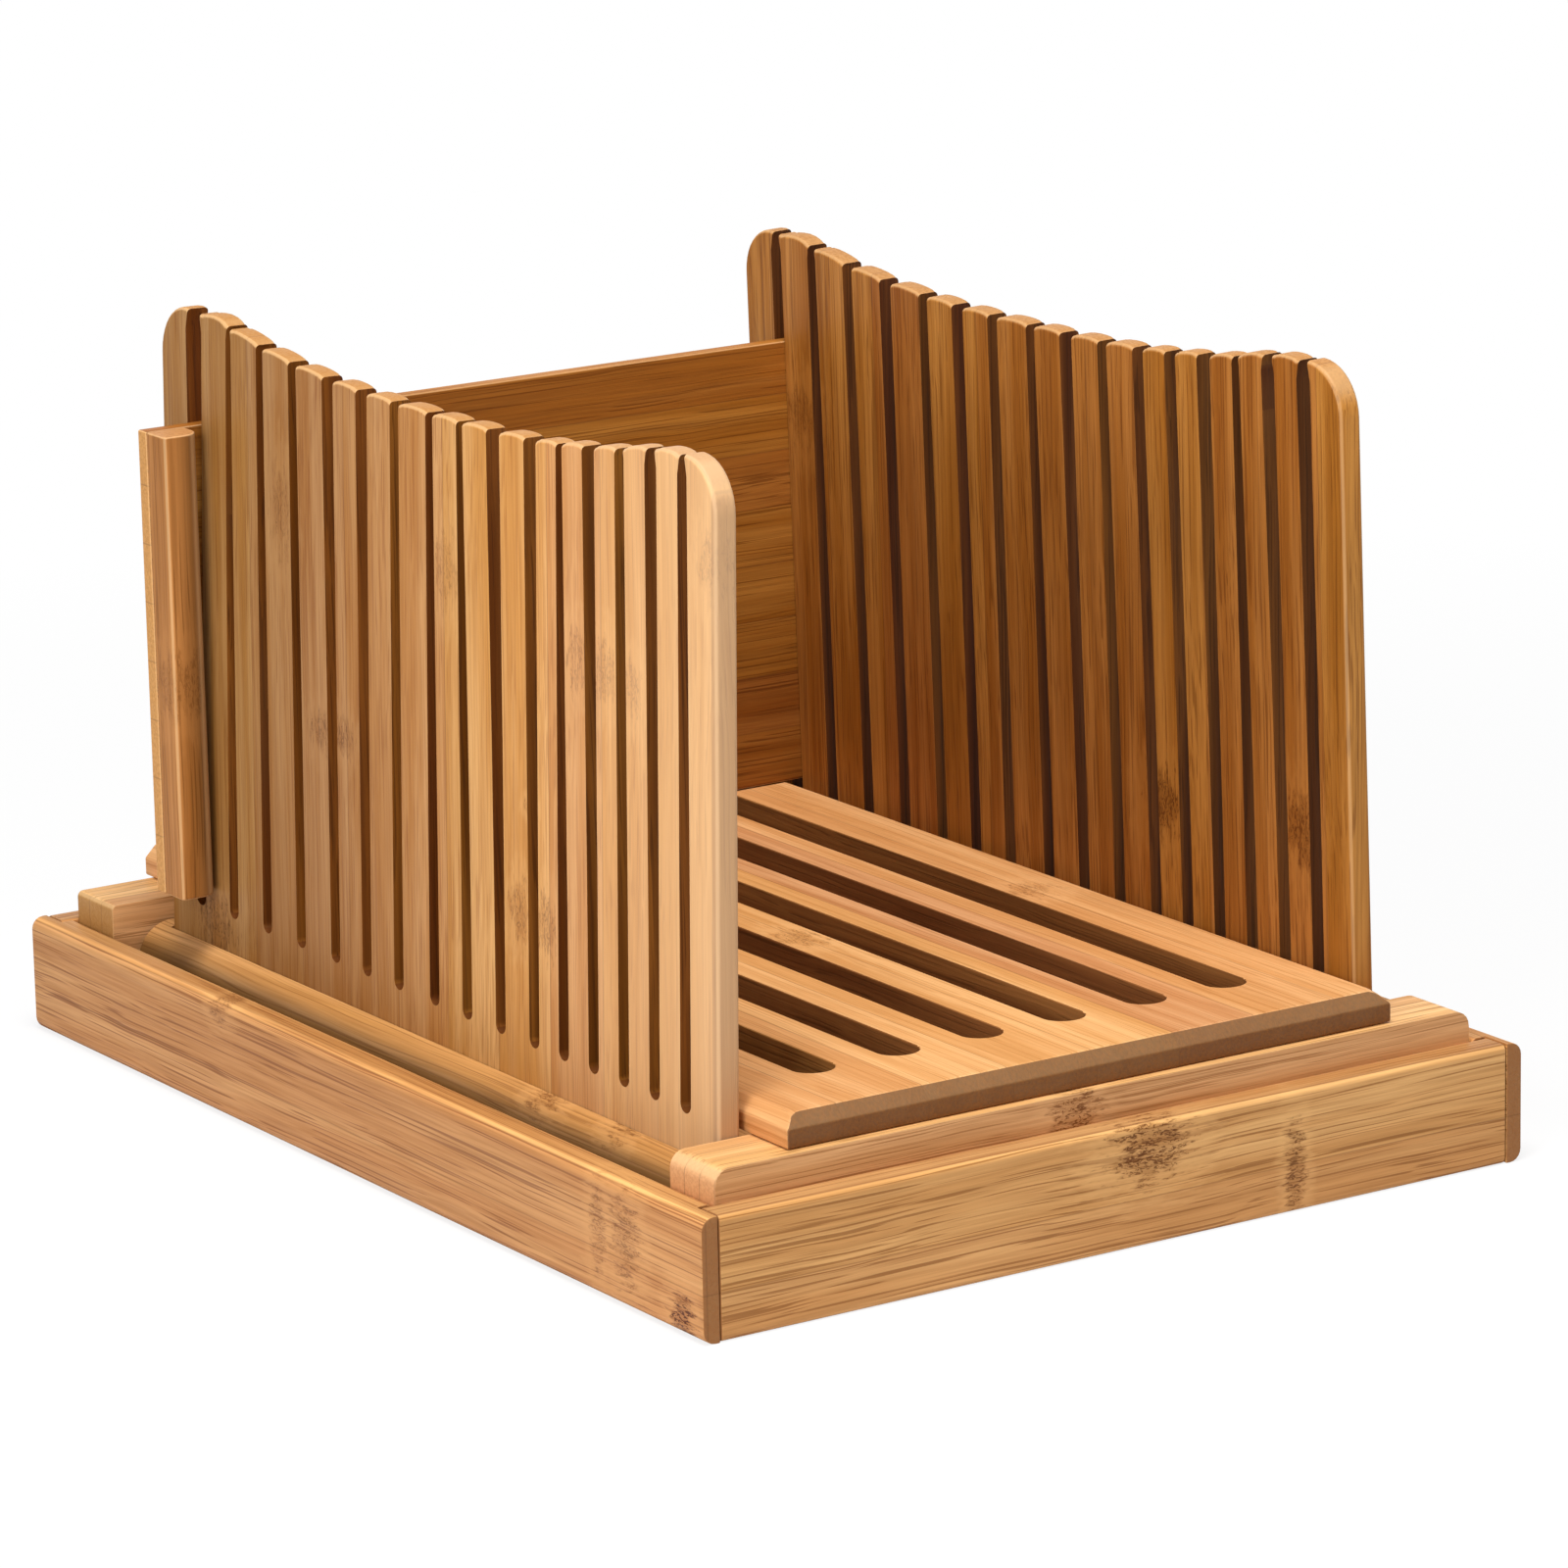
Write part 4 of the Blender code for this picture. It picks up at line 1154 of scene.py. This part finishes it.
def set_light():
    """Two round softboxes, and a white room that only the camera and the gloss see fully."""
    world = bpy.data.worlds.new("studio")
    bpy.context.scene.world = world
    world.use_nodes = True
    tree = world.node_tree
    tree.nodes.clear()
    path = add(tree, "ShaderNodeLightPath").node
    seen = add(
        tree, "ShaderNodeMath", {"operation": "MAXIMUM"},
        {0: path.outputs["Is Camera Ray"], 1: path.outputs["Is Glossy Ray"]},
    )
    strength = add(tree, "ShaderNodeMapRange", feeds={"Value": seen, "To Min": 0.12, "To Max": 1.0})
    glow = add(tree, "ShaderNodeBackground", feeds={"Color": (1, 1, 1, 1), "Strength": strength})
    add(tree, "ShaderNodeOutputWorld", feeds={"Surface": glow})
    for name, place, width, watts in LAMPS:
        data = bpy.data.lights.new(name, "AREA")
        data.shape = "DISK"
        data.size = width
        data.energy = watts
        lamp = bpy.data.objects.new(name, data)
        bpy.context.scene.collection.objects.link(lamp)
        lamp.location = place
        lamp.rotation_euler = (Vector(LAMP_AIM) - Vector(place)).to_track_quat("-Z", "Y").to_euler()


def set_floor():
    """White paper: it keeps the shadow beside the tray and is plain white further out."""
    mesh = bpy.data.meshes.new("floor")
    corners = [(x * FLOOR_REACH, y * FLOOR_REACH, 0) for x, y in ((-1, -1), (1, -1), (1, 1), (-1, 1))]
    mesh.from_pydata(corners, [], [(0, 1, 2, 3)])
    floor = new_piece("floor", mesh)
    white = bpy.data.materials.new("white paper sweep")
    white.use_nodes = True
    tree = white.node_tree
    tree.nodes.clear()
    path = add(tree, "ShaderNodeLightPath").node
    place = add(tree, "ShaderNodeTexCoord").node.outputs["Object"]
    distance = add(tree, "ShaderNodeVectorMath", {"operation": "LENGTH"}, {0: place}, out=1)
    near, far = SHADOW_REACH
    share = add(
        tree, "ShaderNodeMapRange",
        feeds={"Value": distance, "From Min": near, "From Max": far, "To Min": 0.8, "To Max": 1.0},
    )
    paper = add(tree, "ShaderNodeBsdfDiffuse", feeds={"Color": (0.86, 0.86, 0.86, 1)})
    glow = add(tree, "ShaderNodeEmission", feeds={"Color": (1, 1, 1, 1), "Strength": 1.0})
    seen = add(
        tree, "ShaderNodeMath", {"operation": "MULTIPLY"},
        {0: path.outputs["Is Camera Ray"], 1: share},
    )
    both = add(tree, "ShaderNodeMixShader", feeds={0: seen, 1: paper, 2: glow})
    add(tree, "ShaderNodeOutputMaterial", feeds={"Surface": both})
    floor.data.materials.append(white)


set_camera()
set_light()
set_floor()
bpy.context.scene.view_settings.view_transform = "Standard"
